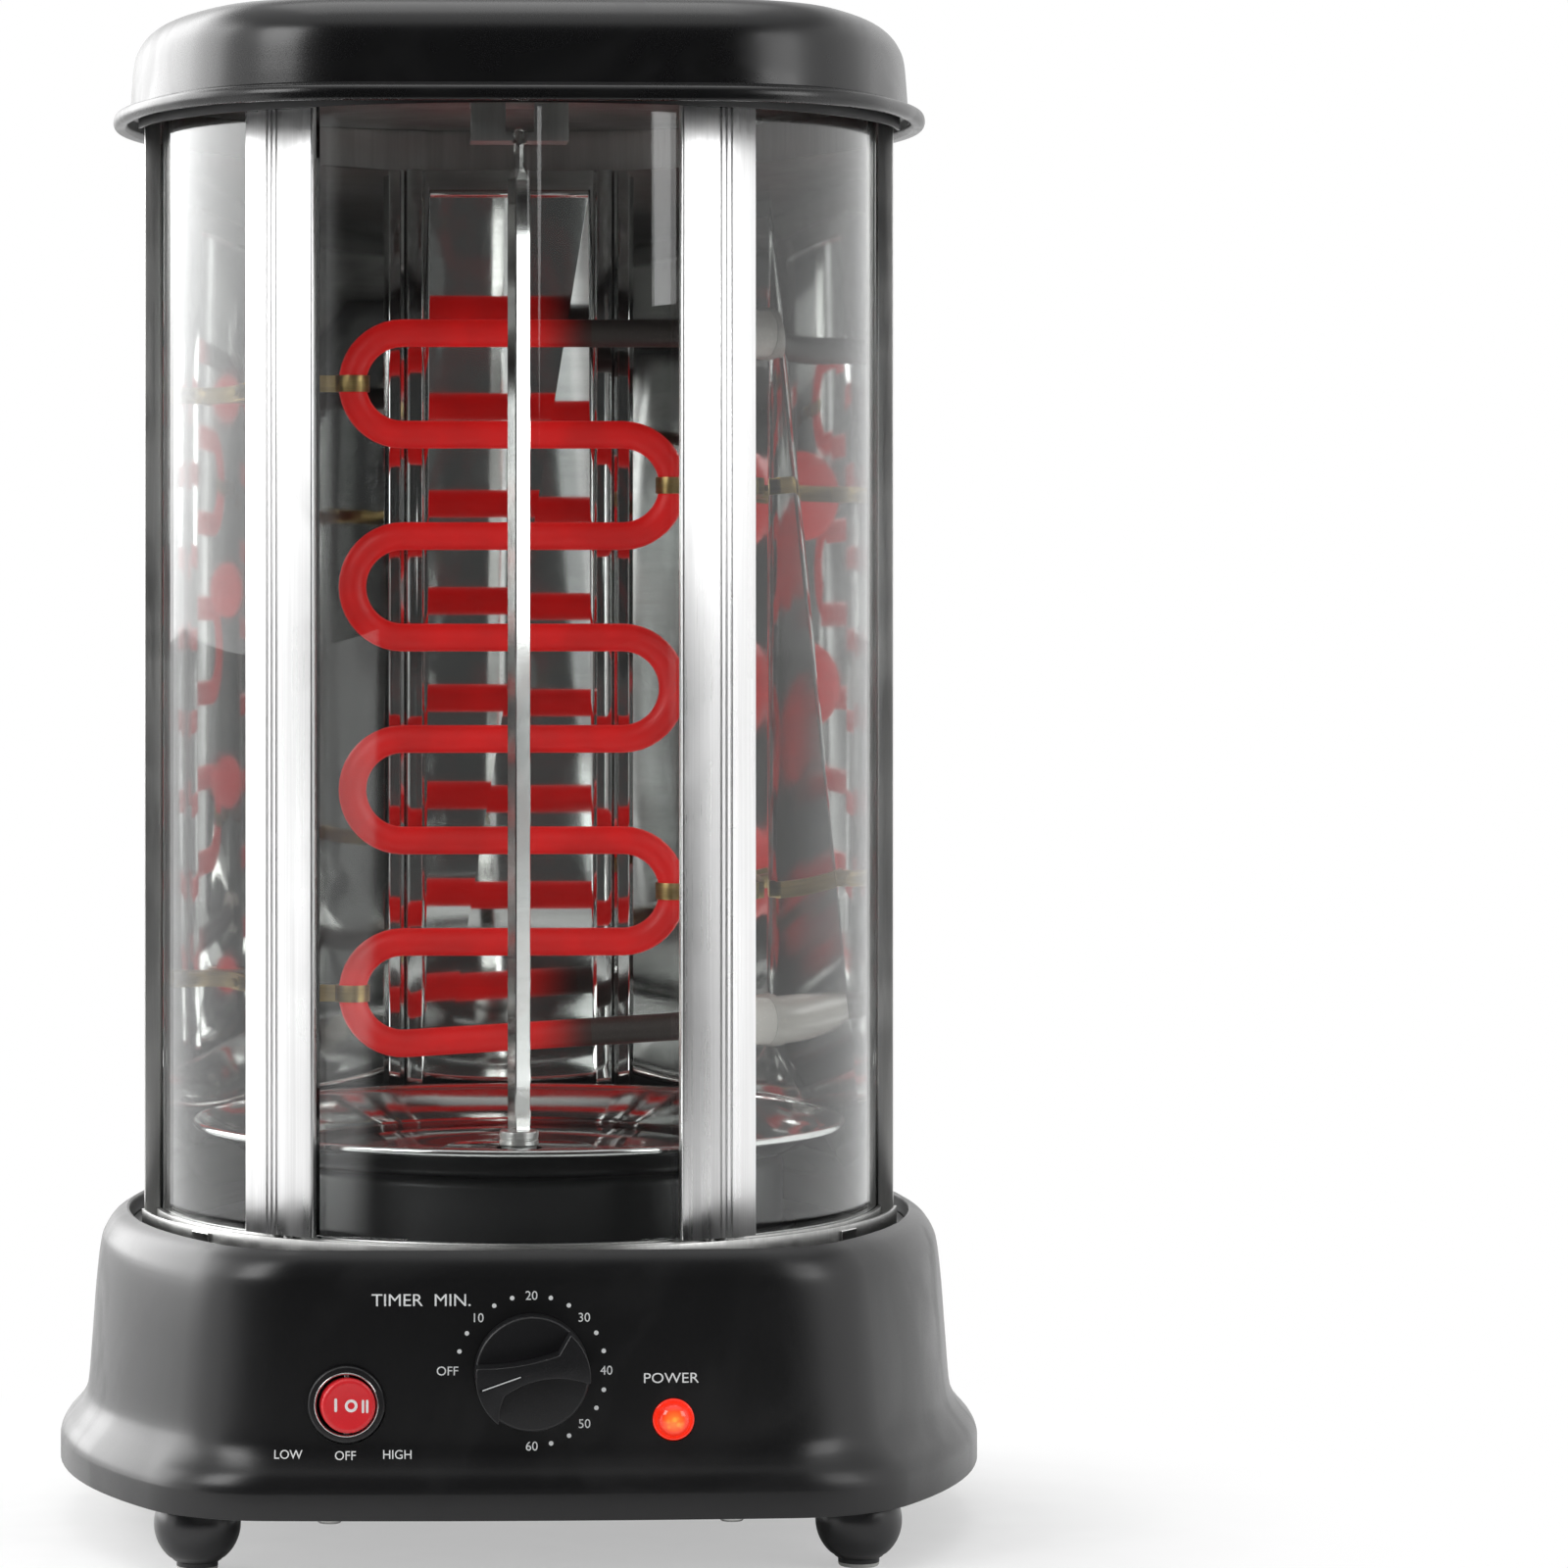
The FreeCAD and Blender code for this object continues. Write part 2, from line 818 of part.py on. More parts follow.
def feet():
    balls = []
    for x, y in foot_places():
        ball = Part.makeSphere(foot_radius, Vec(x, y, foot_centre_height))
        ball = ball.common(upright(foot_radius + 1, x, y, 0, base_bottom))
        ball = ball.cut(upright(foot_pad_radius, x, y, 0, foot_pad_height))
        head_top = foot_pad_height + foot_screw_head_height
        ball = ball.cut(upright(foot_screw_head_radius, x, y, 0, head_top))
        balls.append(ball.cut(upright(foot_screw_radius, x, y, 0, base_bottom)))
    return group(balls)


def foot_pads():
    pads = []
    for x, y in foot_places():
        pad = upright(foot_pad_radius, x, y, 0, foot_pad_height)
        pads.append(pad.makeChamfer(foot_pad_chamfer, [pad.Edges[2]]))
    return group(pads)


def foot_screws():
    screws = []
    for x, y in foot_places():
        head = upright(
            foot_screw_head_radius, x, y, foot_pad_height, foot_pad_height + foot_screw_head_height
        )
        thread = upright(foot_screw_radius, x, y, foot_pad_height, base_bottom + foot_screw_reach)
        plate_top = base_bottom + bottom_plate_thickness
        nut = hexagon(nut_radius, x, y, plate_top, plate_top + nut_height)
        screws.append(fused([head, thread, nut]))
    return group(screws)


def hexagon(radius, x, y, low, high):
    """An upright six-sided bar, used for nuts."""
    points = []
    for index in range(6):
        a = math.radians(60 * index)
        points.append((x + radius * math.cos(a), y + radius * math.sin(a)))
    return prism(points, low, high)


def bottom_screws():
    screws = []
    for x, y in boss_places():
        head = upright(
            bottom_screw_head_radius, x, y, base_bottom - bottom_screw_head_height, base_bottom
        )
        head = head.makeChamfer(bottom_screw_head_chamfer, [head.Edges[2]])
        low = base_bottom - bottom_screw_head_height - 1
        high = base_bottom - bottom_screw_head_height + cross_depth
        cross = fused(
            box(x - across, x + across, y - along, y + along, low, high)
            for across, along in ((cross_reach, cross_width / 2), (cross_width / 2, cross_reach))
        )
        thread = upright(bottom_screw_radius, x, y, base_bottom - 1, base_bottom + boss_height)
        screws.append(fused([head, thread]).cut(cross))
    return group(screws)


# Deck, pan and lower track


def deck_plate():
    shape = plate(base_outline, rim_inset + panel_gap, deck_bottom, deck_top)
    shape = shape.cut(upright(bush_radius, 0, 0, 0, lid_top))
    for x in (-motor_ear_reach, motor_ear_reach):
        shape = shape.cut(upright(motor_screw_radius, x, 0, 0, lid_top))
    slot_y = reflector_back_y + deck_slot_behind
    half = deck_slot_width / 2
    return shape.cut(box(-half, half, slot_y, slot_y + deck_slot_depth, 0, lid_top))


def pan_seat():
    """Pressed seat like a low drum: a flange on the deck, a wall, a cut corner and a holed top."""
    low = deck_top
    high = pan_floor_bottom
    corner = pan_seat_corner
    inner_corner = corner + pan_seat_wall * math.tan(math.radians(22.5))
    outline = [
        Vec(pan_seat_radius + pan_seat_flange, 0, low),
        Vec(pan_seat_radius + pan_seat_flange, 0, low + pan_seat_wall),
        Vec(pan_seat_radius, 0, low + pan_seat_wall),
        Vec(pan_seat_radius, 0, high - corner),
        Vec(pan_seat_radius - corner, 0, high),
        Vec(pan_seat_hole, 0, high),
        Vec(pan_seat_hole, 0, high - pan_seat_wall),
        Vec(pan_seat_radius - inner_corner, 0, high - pan_seat_wall),
        Vec(pan_seat_radius - pan_seat_wall, 0, high - inner_corner),
        Vec(pan_seat_radius - pan_seat_wall, 0, low),
    ]
    return spun(outline)


def dish_line(radius_in, radius_out, low, high):
    """Points up a hollow curved wall from its foot to its rim."""
    points = []
    for index in range(dish_steps + 1):
        share = index / dish_steps
        height = share ** dish_hollow
        points.append(Vec(radius_in + (radius_out - radius_in) * share, 0, low + (high - low) * height))
    return points


def drip_pan():
    """Spun dish with a flat floor, a hollow curved wall and a rolled bead."""
    rim = pan_rim_height - pan_bead
    head = pan_radius - 2 * pan_bead
    under = dish_line(pan_floor_radius, head + pan_sheet, pan_floor_bottom, rim)
    over = dish_line(pan_floor_radius, head, pan_floor_top, rim + pan_sheet)
    bead = []
    for index in range(bead_sides):
        a = math.radians(360 * (index + 0.5) / bead_sides)
        centre = pan_radius - pan_bead
        bead.append(Vec(centre + pan_bead * math.cos(a), 0, rim + pan_bead * math.sin(a)))
    inner = [Vec(pan_hole, 0, pan_floor_top), Vec(pan_hole, 0, pan_floor_bottom)]
    return fused([spun(under + over[::-1] + inner), spun(bead)])


def lower_door_track():
    """Front ring with one channel for the fixed panes and one for the door pins."""
    ring = drum_sector(track_inner, track_outer, -drum_end_angle, drum_end_angle, deck_top, track_top)
    pane_channel = drum_sector(
        fixed_glass_radius - pane_slack, fixed_outer + pane_slack, -90, 90, track_bed, track_top + 1
    )
    pin_channel = drum_sector(groove_inner, groove_outer, -90, 90, track_bed, track_top + 1)
    return ring.cut(pane_channel).cut(pin_channel)


def track_clips():
    """Two bent tabs that hook over the outer wall of the lower track."""
    clips = []
    high = track_top - clip_below_track
    for side in (-1, 1):
        middle = side * clip_angle
        half = math.degrees(clip_width / 2 / track_outer)
        riser = drum_sector(
            track_outer, track_outer + clip_sheet, middle - half, middle + half, deck_top, high
        )
        foot = drum_sector(
            track_outer,
            track_outer + clip_foot,
            middle - half,
            middle + half,
            deck_top,
            deck_top + clip_sheet,
        )
        clips.append(fused([riser, foot]))
    return group(clips)


# Glass


def side_glass(side):
    low, high = sorted((side * fixed_glass_front_angle, side * drum_end_angle))
    return drum_sector(fixed_glass_radius, fixed_outer, low, high, track_bed, drum_glass_top)


def door_glass():
    edge = door_half_angle - bar_rib_inboard_angle
    return drum_sector(
        door_inner, door_outer, door_rest_angle - edge, door_rest_angle + edge, door_bottom, door_top
    )


def bar_pins(middle):
    """Plan positions of the two guide pins of one bar."""
    half = math.degrees(pin_spacing / 2 / pin_path)
    return [plan_point(pin_path, middle + sign * half, 0) for sign in (-1, 1)]


def door_bar(side):
    """Curved extruded bar: a grooved face plate and a rib that closes on the edge of the pane."""
    middle = door_rest_angle + side * door_half_angle
    face = drum_sector(
        door_outer + bar_seat_gap,
        bar_outer,
        middle - bar_half_angle,
        middle + bar_half_angle,
        door_bottom,
        door_top,
    )
    low, high = sorted((middle - side * bar_rib_inboard_angle, middle + side * bar_rib_outboard_angle))
    rib_outer = door_outer + bar_proud / 2
    rib = drum_sector(door_inner + bar_seat_gap, rib_outer, low, high, door_bottom, door_top)
    bar = fused([face, rib])
    outer_edges = []
    for edge in bar.Edges:
        if edge.BoundBox.ZLength > 100 and edge.Vertexes[0].Point.distanceToPoint(
            Vec(0, drum_axis_y, edge.Vertexes[0].Z)
        ) > bar_outer - 0.1:
            outer_edges.append(edge)
    bar = bar.makeFillet(bar_edge_radius, outer_edges)
    groove_half = math.degrees(bar_groove_width / 2 / bar_outer)
    pitch = math.degrees(bar_groove_pitch / bar_outer)
    groove_middle = middle + side * pitch
    for index in range(bar_groove_count):
        at = groove_middle + (index - (bar_groove_count - 1) / 2) * pitch
        bar = bar.cut(
            drum_sector(
                bar_outer - bar_groove_depth,
                bar_outer + 1,
                at - groove_half,
                at + groove_half,
                door_bottom - 1,
                door_top + 1,
            )
        )
    for point in bar_pins(middle):
        bar = bar.cut(upright(pin_radius, point.x, point.y, door_bottom - 1, door_bottom + pin_grip))
        bar = bar.cut(upright(pin_radius, point.x, point.y, door_top - pin_grip, door_top + 1))
    return bar


def door_pins():
    """Eight round pins: two under and two over each bar."""
    pins = []
    for side in (-1, 1):
        for point in bar_pins(door_rest_angle + side * door_half_angle):
            pins.append(
                upright(pin_radius, point.x, point.y, track_bed + fit_gap, door_bottom + pin_grip)
            )
            pins.append(
                upright(pin_radius, point.x, point.y, door_top - pin_grip, ring_web_bottom - fit_gap)
            )
    return group(pins)


def upper_door_track():
    """Ring under the lid plate that hides the tops of the panes and guides the upper pins."""
    ring = drum_sector(
        track_inner, ring_outer, -drum_end_angle, drum_end_angle, ring_bottom, lid_plate_height
    )
    pane_inner = fixed_glass_radius - pane_slack
    pane_outer = fixed_outer + pane_slack
    bar_space = drum_sector(
        pane_outer, ring_outer - ring_wall, -90, 90, ring_bottom - 1, door_top + slide_gap
    )
    lower_cut = drum_sector(track_inner - 1, pane_inner, -90, 90, ring_bottom - 1, door_top)
    pane_channel = drum_sector(pane_inner, pane_outer, -90, 90, ring_bottom - 1, drum_glass_top + fit_gap)
    pin_channel = drum_sector(groove_inner, groove_outer, -90, 90, ring_bottom - 1, ring_web_bottom)
    ring = ring.cut(bar_space).cut(pane_channel).cut(pin_channel)
    return ring.cut(lower_cut)


# Back shell and reflectors


def back_shell():
    """Rolled sheet round the back with a folded post at each front edge."""
    low = deck_top
    high = lid_plate_height
    outer = upright(shell_radius, 0, shell_axis_y, low, high)
    wrap = outer.cut(upright(shell_inside, 0, shell_axis_y, low - 1, high + 1))
    reach = shell_radius + 1
    wrap = wrap.common(box(-reach, reach, post_front_y, reach + shell_axis_y, low, high))
    posts = []
    for side in (-1, 1):
        inner = side * post_inner_x
        outer_x = side * (shell_radius - post_edge)
        flange = box(
            min(inner, outer_x), max(inner, outer_x), post_front_y, post_front_y + shell_sheet, low, high
        ).common(outer)
        back = inner + side * shell_sheet
        web = box(
            min(inner, back), max(inner, back), post_front_y, post_front_y + post_depth, low, high
        )
        posts += [flange, web]
    shell = fused([wrap] + posts)
    for start in (louvre_low_start, louvre_high_start):
        for index in range(louvre_count):
            z = start + index * louvre_pitch
            half = louvre_length / 2
            shell = shell.cut(box(-half, half, reflector_back_y, 2 * reach, z, z + louvre_height))
    return shell


def reflector_centre():
    """Polished middle panel with a folded rib at each side and a folded top."""
    half = reflector_centre_half
    front = reflector_back_y - reflector_rib_depth
    rib_end = half + reflector_rib_width
    right = [
        (half, reflector_back_y),
        (half + reflector_rib_slope, front),
        (rib_end - reflector_rib_slope, front),
        (rib_end, reflector_back_y),
        (rib_end + reflector_hem, reflector_back_y),
    ]
    left = [(-x, y) for x, y in reversed(right)]
    panel = bent_sheet(left + right, reflector_sheet, deck_top, reflector_top)
    fold = box(
        -half,
        half,
        reflector_back_y,
        reflector_back_y + reflector_fold,
        reflector_top - reflector_sheet,
        reflector_top,
    )
    return fused([panel, fold, swage(half - swage_inset, reflector_back_y, reflector_top - swage_drop)])


def swage(half, y, z):
    """A half-round rib pressed across the middle panel."""
    bar = Part.makeCylinder(swage_radius, 2 * half, Vec(-half, y - reflector_sheet / 2, z), RIGHT)
    return bar.common(box(-half, half, y - 2 * swage_radius, y, z - swage_radius, z + swage_radius))


def reflector_side_line():
    """Plan line of a side panel, from its hem on the front post to its hem on the middle panel."""
    hem_x = post_inner_x - reflector_sheet / 2
    last_x = reflector_centre_half + reflector_rib_width + reflector_hem_inset
    return [
        (hem_x, post_front_y + reflector_hem_inset),
        (hem_x, post_front_y + post_depth - reflector_hem_inset),
        reflector_corner,
        reflector_rear_corner,
        (last_x + reflector_hem, reflector_back_y - reflector_sheet),
        (last_x, reflector_back_y - reflector_sheet),
    ]


def reflector_side(side):
    panel = bent_sheet(reflector_side_line(), reflector_sheet, deck_top, reflector_top)
    if side < 0:
        return mirrored(panel)
    for z in element_end_heights():
        panel = panel.cut(bush_neck(z, 0.0))
    return panel


def bush_neck(z, gap):
    """The reduced middle of a ceramic bush, where the side reflector grips it."""
    radius = bush_tube_radius - bush_neck_step - gap
    start = reflector_corner[0] - bush_tube_length
    return Part.makeCylinder(radius, 2 * bush_tube_length, Vec(start, element_y, z), RIGHT)


def reflector_brackets():
    """Top-hat spacers between the middle panel and the back shell."""
    spacers = []
    front = reflector_back_y + reflector_sheet / 2
    rear = shell_axis_y + shell_radius
    half = reflector_bracket_width / 2
    wall = reflector_bracket_sheet
    for z in (reflector_bracket_low, reflector_bracket_high):
        high = z + reflector_bracket_height
        spacer = box(-half, half, front, rear, z, high)
        spacer = spacer.common(upright(shell_inside, 0, shell_axis_y, z, high))
        hollow = box(-half - 1, half + 1, front + wall, rear, z + wall, high - wall)
        hollow = hollow.common(upright(shell_inside - wall, 0, shell_axis_y, z, high))
        spacers.append(spacer.cut(hollow))
    return group(spacers)


# Lid


def lid_cap():
    """Pressed lid: a rolled lip, a groove above it, a near-vertical wall and a rounded shoulder."""
    lip = []
    for index in range(lip_steps + 1):
        a = math.radians(180 * index / lip_steps)
        inset = lid_curl * (1 - math.sin(a)) * lid_curl_share
        lip.append((inset, lid_bottom + lid_curl * (1 - math.cos(a))))
    groove = (lid_groove_inset, lid_bottom + 2 * lid_curl + lid_groove_rise)
    crown = [(inset, lid_bottom + height) for inset, height in lid_crown]
    cap = lofted(lid_outline, lip + [groove] + crown)
    inner = inside_profile(crown, lid_sheet)
    mouth_top = inner[0][1] - lid_sheet
    inner[0] = (inner[0][0], mouth_top - fit_gap)
    cap = cap.cut(lofted(lid_outline, inner))
    cap = cap.cut(plate(lid_outline, 2 * lid_curl, lid_bottom - 1, mouth_top))
    posts = []
    for x, y in lid_post_places():
        posts.append(upright(lid_post_radius, x, y, lid_plate_height + lid_sheet, lid_top - lid_sheet / 2))
    cap = fused([cap] + posts)
    hole_top = lid_plate_height + lid_screw_length
    for x, y in lid_post_places():
        cap = cap.cut(upright(lid_screw_radius, x, y, lid_plate_height, hole_top))
    return cap


def lid_post_places():
    """Where the four posts of the lid come down onto the lid plate."""
    right = lid_half_width - lid_post_inset_x
    ends = (lid_post_inset_front - lid_front, lid_rear - lid_post_inset_rear)
    return [(x, y) for x in (-right, right) for y in ends]


def lid_plate():
    shape = plate(lid_outline, lid_plate_inset, lid_plate_height, lid_plate_height + lid_sheet)
    for x, y in lid_post_places():
        shape = shape.cut(upright(lid_screw_radius, x, y, 0, lid_top))
    for x in (-bracket_screw_x, bracket_screw_x):
        shape = shape.cut(upright(bracket_screw_radius, x, bracket_screw_y(), 0, lid_top))
    return shape


def pan_head_screw(radius, head_radius, head_height, x, y, seat, length):
    """A screw driven upwards with its head below the seat."""
    head = upright(head_radius, x, y, seat - head_height, seat)
    head = head.makeChamfer(head_height * screw_chamfer_share, [head.Edges[2]])
    half = screw_slot_width / 2
    slot_top = seat - head_height + screw_slot_depth
    slot = box(x - head_radius, x + head_radius, y - half, y + half, seat - head_height, slot_top)
    return fused([head, upright(radius, x, y, slot_top, seat + length)]).cut(slot)


def lid_screws():
    shape = (lid_screw_radius, lid_screw_head_radius, lid_screw_head_height)
    return group(
        pan_head_screw(*shape, x, y, lid_plate_height, lid_screw_length) for x, y in lid_post_places()
    )


def bracket_screw_y():
    depth = bracket_foot_rear - bracket_front_y
    return bracket_front_y + bracket_sheet + bracket_screw_share * depth


def top_bracket():
    """Z-shaped sheet with a keyhole: a window in the web that narrows to a slot in the shelf."""
    half = bracket_half_width
    rear_of_web = bracket_front_y + bracket_sheet
    web = box(-half, half, bracket_front_y, rear_of_web, bracket_bottom, lid_plate_height)
    shelf = box(
        -half, half, bracket_front_y, bracket_shelf_rear, bracket_bottom, bracket_bottom + bracket_sheet
    )
    foot = box(
        -half,
        half,
        bracket_front_y,
        bracket_foot_rear,
        lid_plate_height - bracket_sheet,
        lid_plate_height,
    )
    bracket = fused([web, shelf, foot])
    window = box(
        -keyhole_half_width,
        keyhole_half_width,
        bracket_front_y - 1,
        rear_of_web + 1,
        keyhole_bottom,
        lid_plate_height - bracket_sheet,
    )
    slot = box(
        -slot_half_width, slot_half_width, bracket_front_y - 1, 0, bracket_bottom - 1, keyhole_bottom + 1
    )
    above_shelf = bracket_bottom + 2 * bracket_sheet
    slot_end = upright(slot_half_width, 0, 0, bracket_bottom - 1, above_shelf)
    bracket = bracket.cut(window).cut(slot).cut(slot_end)
    for x in (-bracket_screw_x, bracket_screw_x):
        hole = upright(bracket_screw_radius, x, bracket_screw_y(), above_shelf, lid_top)
        bracket = bracket.cut(hole)
    return bracket


def bracket_screws():
    shape = (bracket_screw_radius, bracket_screw_head_radius, bracket_screw_head_height)
    seat = lid_plate_height - bracket_sheet
    return group(
        pan_head_screw(*shape, x, bracket_screw_y(), seat, bracket_screw_length)
        for x in (-bracket_screw_x, bracket_screw_x)
    )


# Spit and drive


def turned_square(side, low, high):
    half = side / 2
    bar = box(-half, half, -half, half, low, high)
    bar.rotate(Vec(0, 0, 0), UP, spit_turn)
    return bar


def spit():
    """Square bar with a drawn-down round tip that turns in the slot of the top bracket."""
    bottom = hub_top - hub_socket_depth + fit_gap
    neck = spit_shoulder + 1 - spit_taper
    bar = turned_square(spit_side, bottom, neck)
    corner = spit_side / math.sqrt(2) + shaft_gap
    cone = Part.makeCone(corner, spit_pin_radius, spit_taper, Vec(0, 0, neck), UP)
    taper = turned_square(spit_side, neck, neck + spit_taper).common(cone)
    pin = upright(spit_pin_radius, 0, 0, spit_shoulder - spit_taper / 2, spit_tip)
    return fused([bar, taper, pin])


def drive_hub():
    """Collar with a square socket on top and a bored spigot that slips over the motor shaft."""
    spigot_bottom = hub_bottom - hub_spigot_length
    collar = upright(hub_radius, 0, 0, hub_bottom, hub_top)
    collar = collar.makeChamfer(hub_chamfer, [collar.Edges[0]])
    spigot = upright(hub_spigot_radius, 0, 0, spigot_bottom, hub_bottom + hub_chamfer)
    hub = fused([collar, spigot])
    hub = hub.cut(turned_square(spit_side + hole_gap, hub_top - hub_socket_depth, hub_top + 1))
    return hub.cut(d_shaft(motor_shaft_radius, spigot_bottom - 1, hub_bottom - hub_floor))


def d_shaft(radius, low, high):
    """A shaft with a flat on its rear side, between two heights."""
    flat = box(-radius, radius, -radius, radius * shaft_flat_share, low, high)
    return upright(radius, 0, 0, low, high).common(flat)


def motor_top():
    return deck_bottom - motor_drop


def motor_shaft():
    low = motor_top() - motor_height + motor_screw_head_height
    flat_start = hub_bottom - hub_spigot_length - slide_gap
    lower = upright(motor_shaft_radius, 0, 0, low, flat_start)
    upper = d_shaft(motor_shaft_radius, flat_start, hub_bottom - hub_floor)
    return fused([lower, upper])


def deck_bush():
    """Flanged bearing bush pressed into the deck round the motor shaft."""
    body = upright(bush_radius, 0, 0, deck_top - bush_length, deck_top)
    flange = upright(bush_flange_radius, 0, 0, deck_top, deck_top + bush_flange_height)
    return fused([body, flange]).cut(
        upright(motor_shaft_radius + shaft_gap, 0, 0, 0, lid_top)
    )


def gear_motor():
    """Synchronous motor can with its gearbox below and two mounting ears."""
    top = motor_top()
    can = upright(motor_radius, 0, 0, top - motor_height, top)
    can = can.makeChamfer(motor_chamfer, [can.Edges[0], can.Edges[2]])
    gearbox = upright(gearbox_radius, 0, 0, top - motor_height - gearbox_height, top - motor_height + 1)
    half = motor_ear_width / 2
    ear_low = top - motor_ear_sheet
    ear = box(-motor_ear_reach, motor_ear_reach, -half, half, ear_low, top)
    ends = [upright(half, x, 0, ear_low, top) for x in (-motor_ear_reach, motor_ear_reach)]
    motor = fused([can, gearbox, ear] + ends)
    for x in (-motor_ear_reach, motor_ear_reach):
        motor = motor.cut(upright(motor_screw_radius, x, 0, ear_low - 1, top + 1))
    shaft_low = top - motor_height + motor_screw_head_height - slide_gap
    return motor.cut(upright(motor_shaft_radius + shaft_gap, 0, 0, shaft_low, top + 1))


def motor_spacers():
    spacers = []
    for x in (-motor_ear_reach, motor_ear_reach):
        sleeve = upright(motor_screw_radius + spacer_wall, x, 0, motor_top(), deck_bottom)
        spacers.append(sleeve.cut(upright(motor_screw_radius, x, 0, 0, lid_top)))
    return group(spacers)


def motor_screws():
    screws = []
    bottom = motor_top() - motor_ear_sheet
    for x in (-motor_ear_reach, motor_ear_reach):
        head = upright(motor_screw_head_radius, x, 0, deck_top, deck_top + motor_screw_head_height)
        head = head.makeChamfer(motor_screw_head_chamfer, [head.Edges[0]])
        stem = upright(motor_screw_radius, x, 0, bottom - nut_height - 1, deck_top + 1)
        nut = hexagon(nut_radius, x, 0, bottom - nut_height, bottom)
        screws.append(fused([head, stem, nut]))
    return group(screws)


# Heating element


def run_height(index):
    return element_top - index * element_pitch


def element_end_heights():
    """Heights at which the two cold ends pass the right reflector."""
    return run_height(0), tilted_height(reflector_corner[0])


def tilt_start():
    a = math.radians(element_tilt)
    centre_z = run_height(element_runs - 1) + element_bend
    return (
        -element_turn_x + element_bend * math.sin(a),
        centre_z - element_bend * math.cos(a),
    )


def tilted_height(x):
    start_x, start_z = tilt_start()
    return start_z + (x - start_x) * math.tan(math.radians(element_tilt))


def element_point(x, z):
    return Vec(x, element_y, z)


def tube_section(centre, direction):
    """A many-sided section square to a direction in the plane of the element."""
    across = direction.cross(BACK)
    points = []
    for index in range(element_sides):
        a = math.radians(360 * (index + 0.5) / element_sides)
        out = across * (element_radius * math.cos(a)) + BACK * (element_radius * math.sin(a))
        points.append(centre + out)
    return Part.Face(Part.makePolygon(points + points[:1]))


def straight_tube(start, end):
    return tube_section(start, (end - start).normalize()).extrude(end - start)


def bent_tube(start, centre, turn, direction):
    return tube_section(start, direction).revolve(centre, BACK, turn)


def heating_element():
    """Serpentine of level runs joined by half-circle bends, with its last run rising slightly."""
    pieces = []
    here = element_point(element_hot_end, run_height(0))
    last_bend = element_runs - 2
    for index in range(element_runs - 1):
        side = -1 if index % 2 == 0 else 1
        z = run_height(index)
        turn = element_point(side * element_turn_x, z)
        centre = element_point(side * element_turn_x, z - element_bend)
        sweep = 180 + element_tilt if index == last_bend else 180
        pieces.append(straight_tube(here, turn))
        pieces.append(bent_tube(turn, centre, side * sweep, Vec(side, 0, 0)))
        here = element_point(side * element_turn_x, z - element_pitch)
        if index == last_bend:
            here = element_point(*tilt_start())
    end = element_point(element_hot_end, tilted_height(element_hot_end))
    pieces.append(straight_tube(here, end))
    return fused(pieces)


def element_cold_ends():
    tubes = []
    top = run_height(0)
    for first, last in (
        (element_point(element_hot_end, top), element_point(element_cold_end, top)),
        (
            element_point(element_hot_end, tilted_height(element_hot_end)),
            element_point(element_cold_end, tilted_height(element_cold_end)),
        ),
    ):
        tubes.append(straight_tube(first, last))
    return group(tubes)


def element_bushes():
    """Stepped ceramic bushes where the cold ends pass the right reflector."""
    bushes = []
    middle = reflector_corner[0]
    panel = bent_sheet(reflector_side_line(), reflector_sheet, deck_top, reflector_top)
    for z, tilt in zip(element_end_heights(), (0.0, math.radians(element_tilt))):
        start = Vec(middle - bush_tube_length / 2, element_y, z)
        bush = Part.makeCylinder(bush_tube_radius, bush_tube_length, start, RIGHT)
        bush = bush.cut(panel.cut(bush_neck(z, bush_gap)))
        along = Vec(math.cos(tilt), 0, math.sin(tilt))
        bore_start = Vec(middle, element_y, z) - along * bush_tube_length
        bushes.append(bush.cut(Part.makeCylinder(element_radius, 2 * bush_tube_length, bore_start, along)))
    return group(bushes)


def element_terminals():
    studs = []
    for z, tilt in ((run_height(0), 0.0), (tilted_height(element_cold_end), element_tilt)):
        start = element_cold_end + stud_radius * math.sin(math.radians(tilt))
        stud = Part.makeCylinder(stud_radius, stud_length, Vec(start, element_y, z), RIGHT)
        nut_start = Vec(start + stud_nut_gap, element_y, z)
        nut = Part.makeCylinder(stud_nut_radius, stud_nut_height, nut_start, RIGHT)
        studs.append(fused([stud, nut]))
    return group(studs)


def clip_places():
    """Side and height of each clip, at the crown of a bend."""
    crowns = ((-1, 0), (-1, element_runs - 2), (1, 1), (1, element_runs - 3))
    return [(side, run_height(index) - element_bend) for side, index in crowns]


def ear_end():
    """How far from the middle a level ear meets the inner face of the side reflector."""
    line = reflector_side_line()[1:4]
    start, end = line[:2] if element_y < line[1][1] else line[1:]
    lean = (start[0] - end[0]) / (end[1] - start[1])
    wall = start[0] - lean * (element_y - start[1])
    return wall - reflector_sheet / 2 * math.hypot(1, lean) - clip_ear_thickness / 2 * lean


def element_clips():
    """Straps round the element with an ear that reaches the side reflector."""
    straps = []
    half = clip_ear_thickness / 2
    bore = element_radius + clip_band_slack
    for side, z in clip_places():
        crown = side * (element_turn_x + element_bend)
        low = z - clip_band_height / 2
        high = z + clip_band_height / 2
        band = upright(bore + clip_band_wall, crown, element_y, low, high)
        x0, x1 = sorted((crown + side * element_radius, side * ear_end()))
        ear = box(x0, x1, element_y - half, element_y + half, low, high)
        strap = fused([band, ear]).cut(upright(bore, crown, element_y, low - 1, high + 1))
        bolt_x = crown + side * clip_bolt_offset
        straps.append(strap.cut(level(clip_bolt_radius, bolt_x, element_y - through, z, 2 * through)))
    return group(straps)


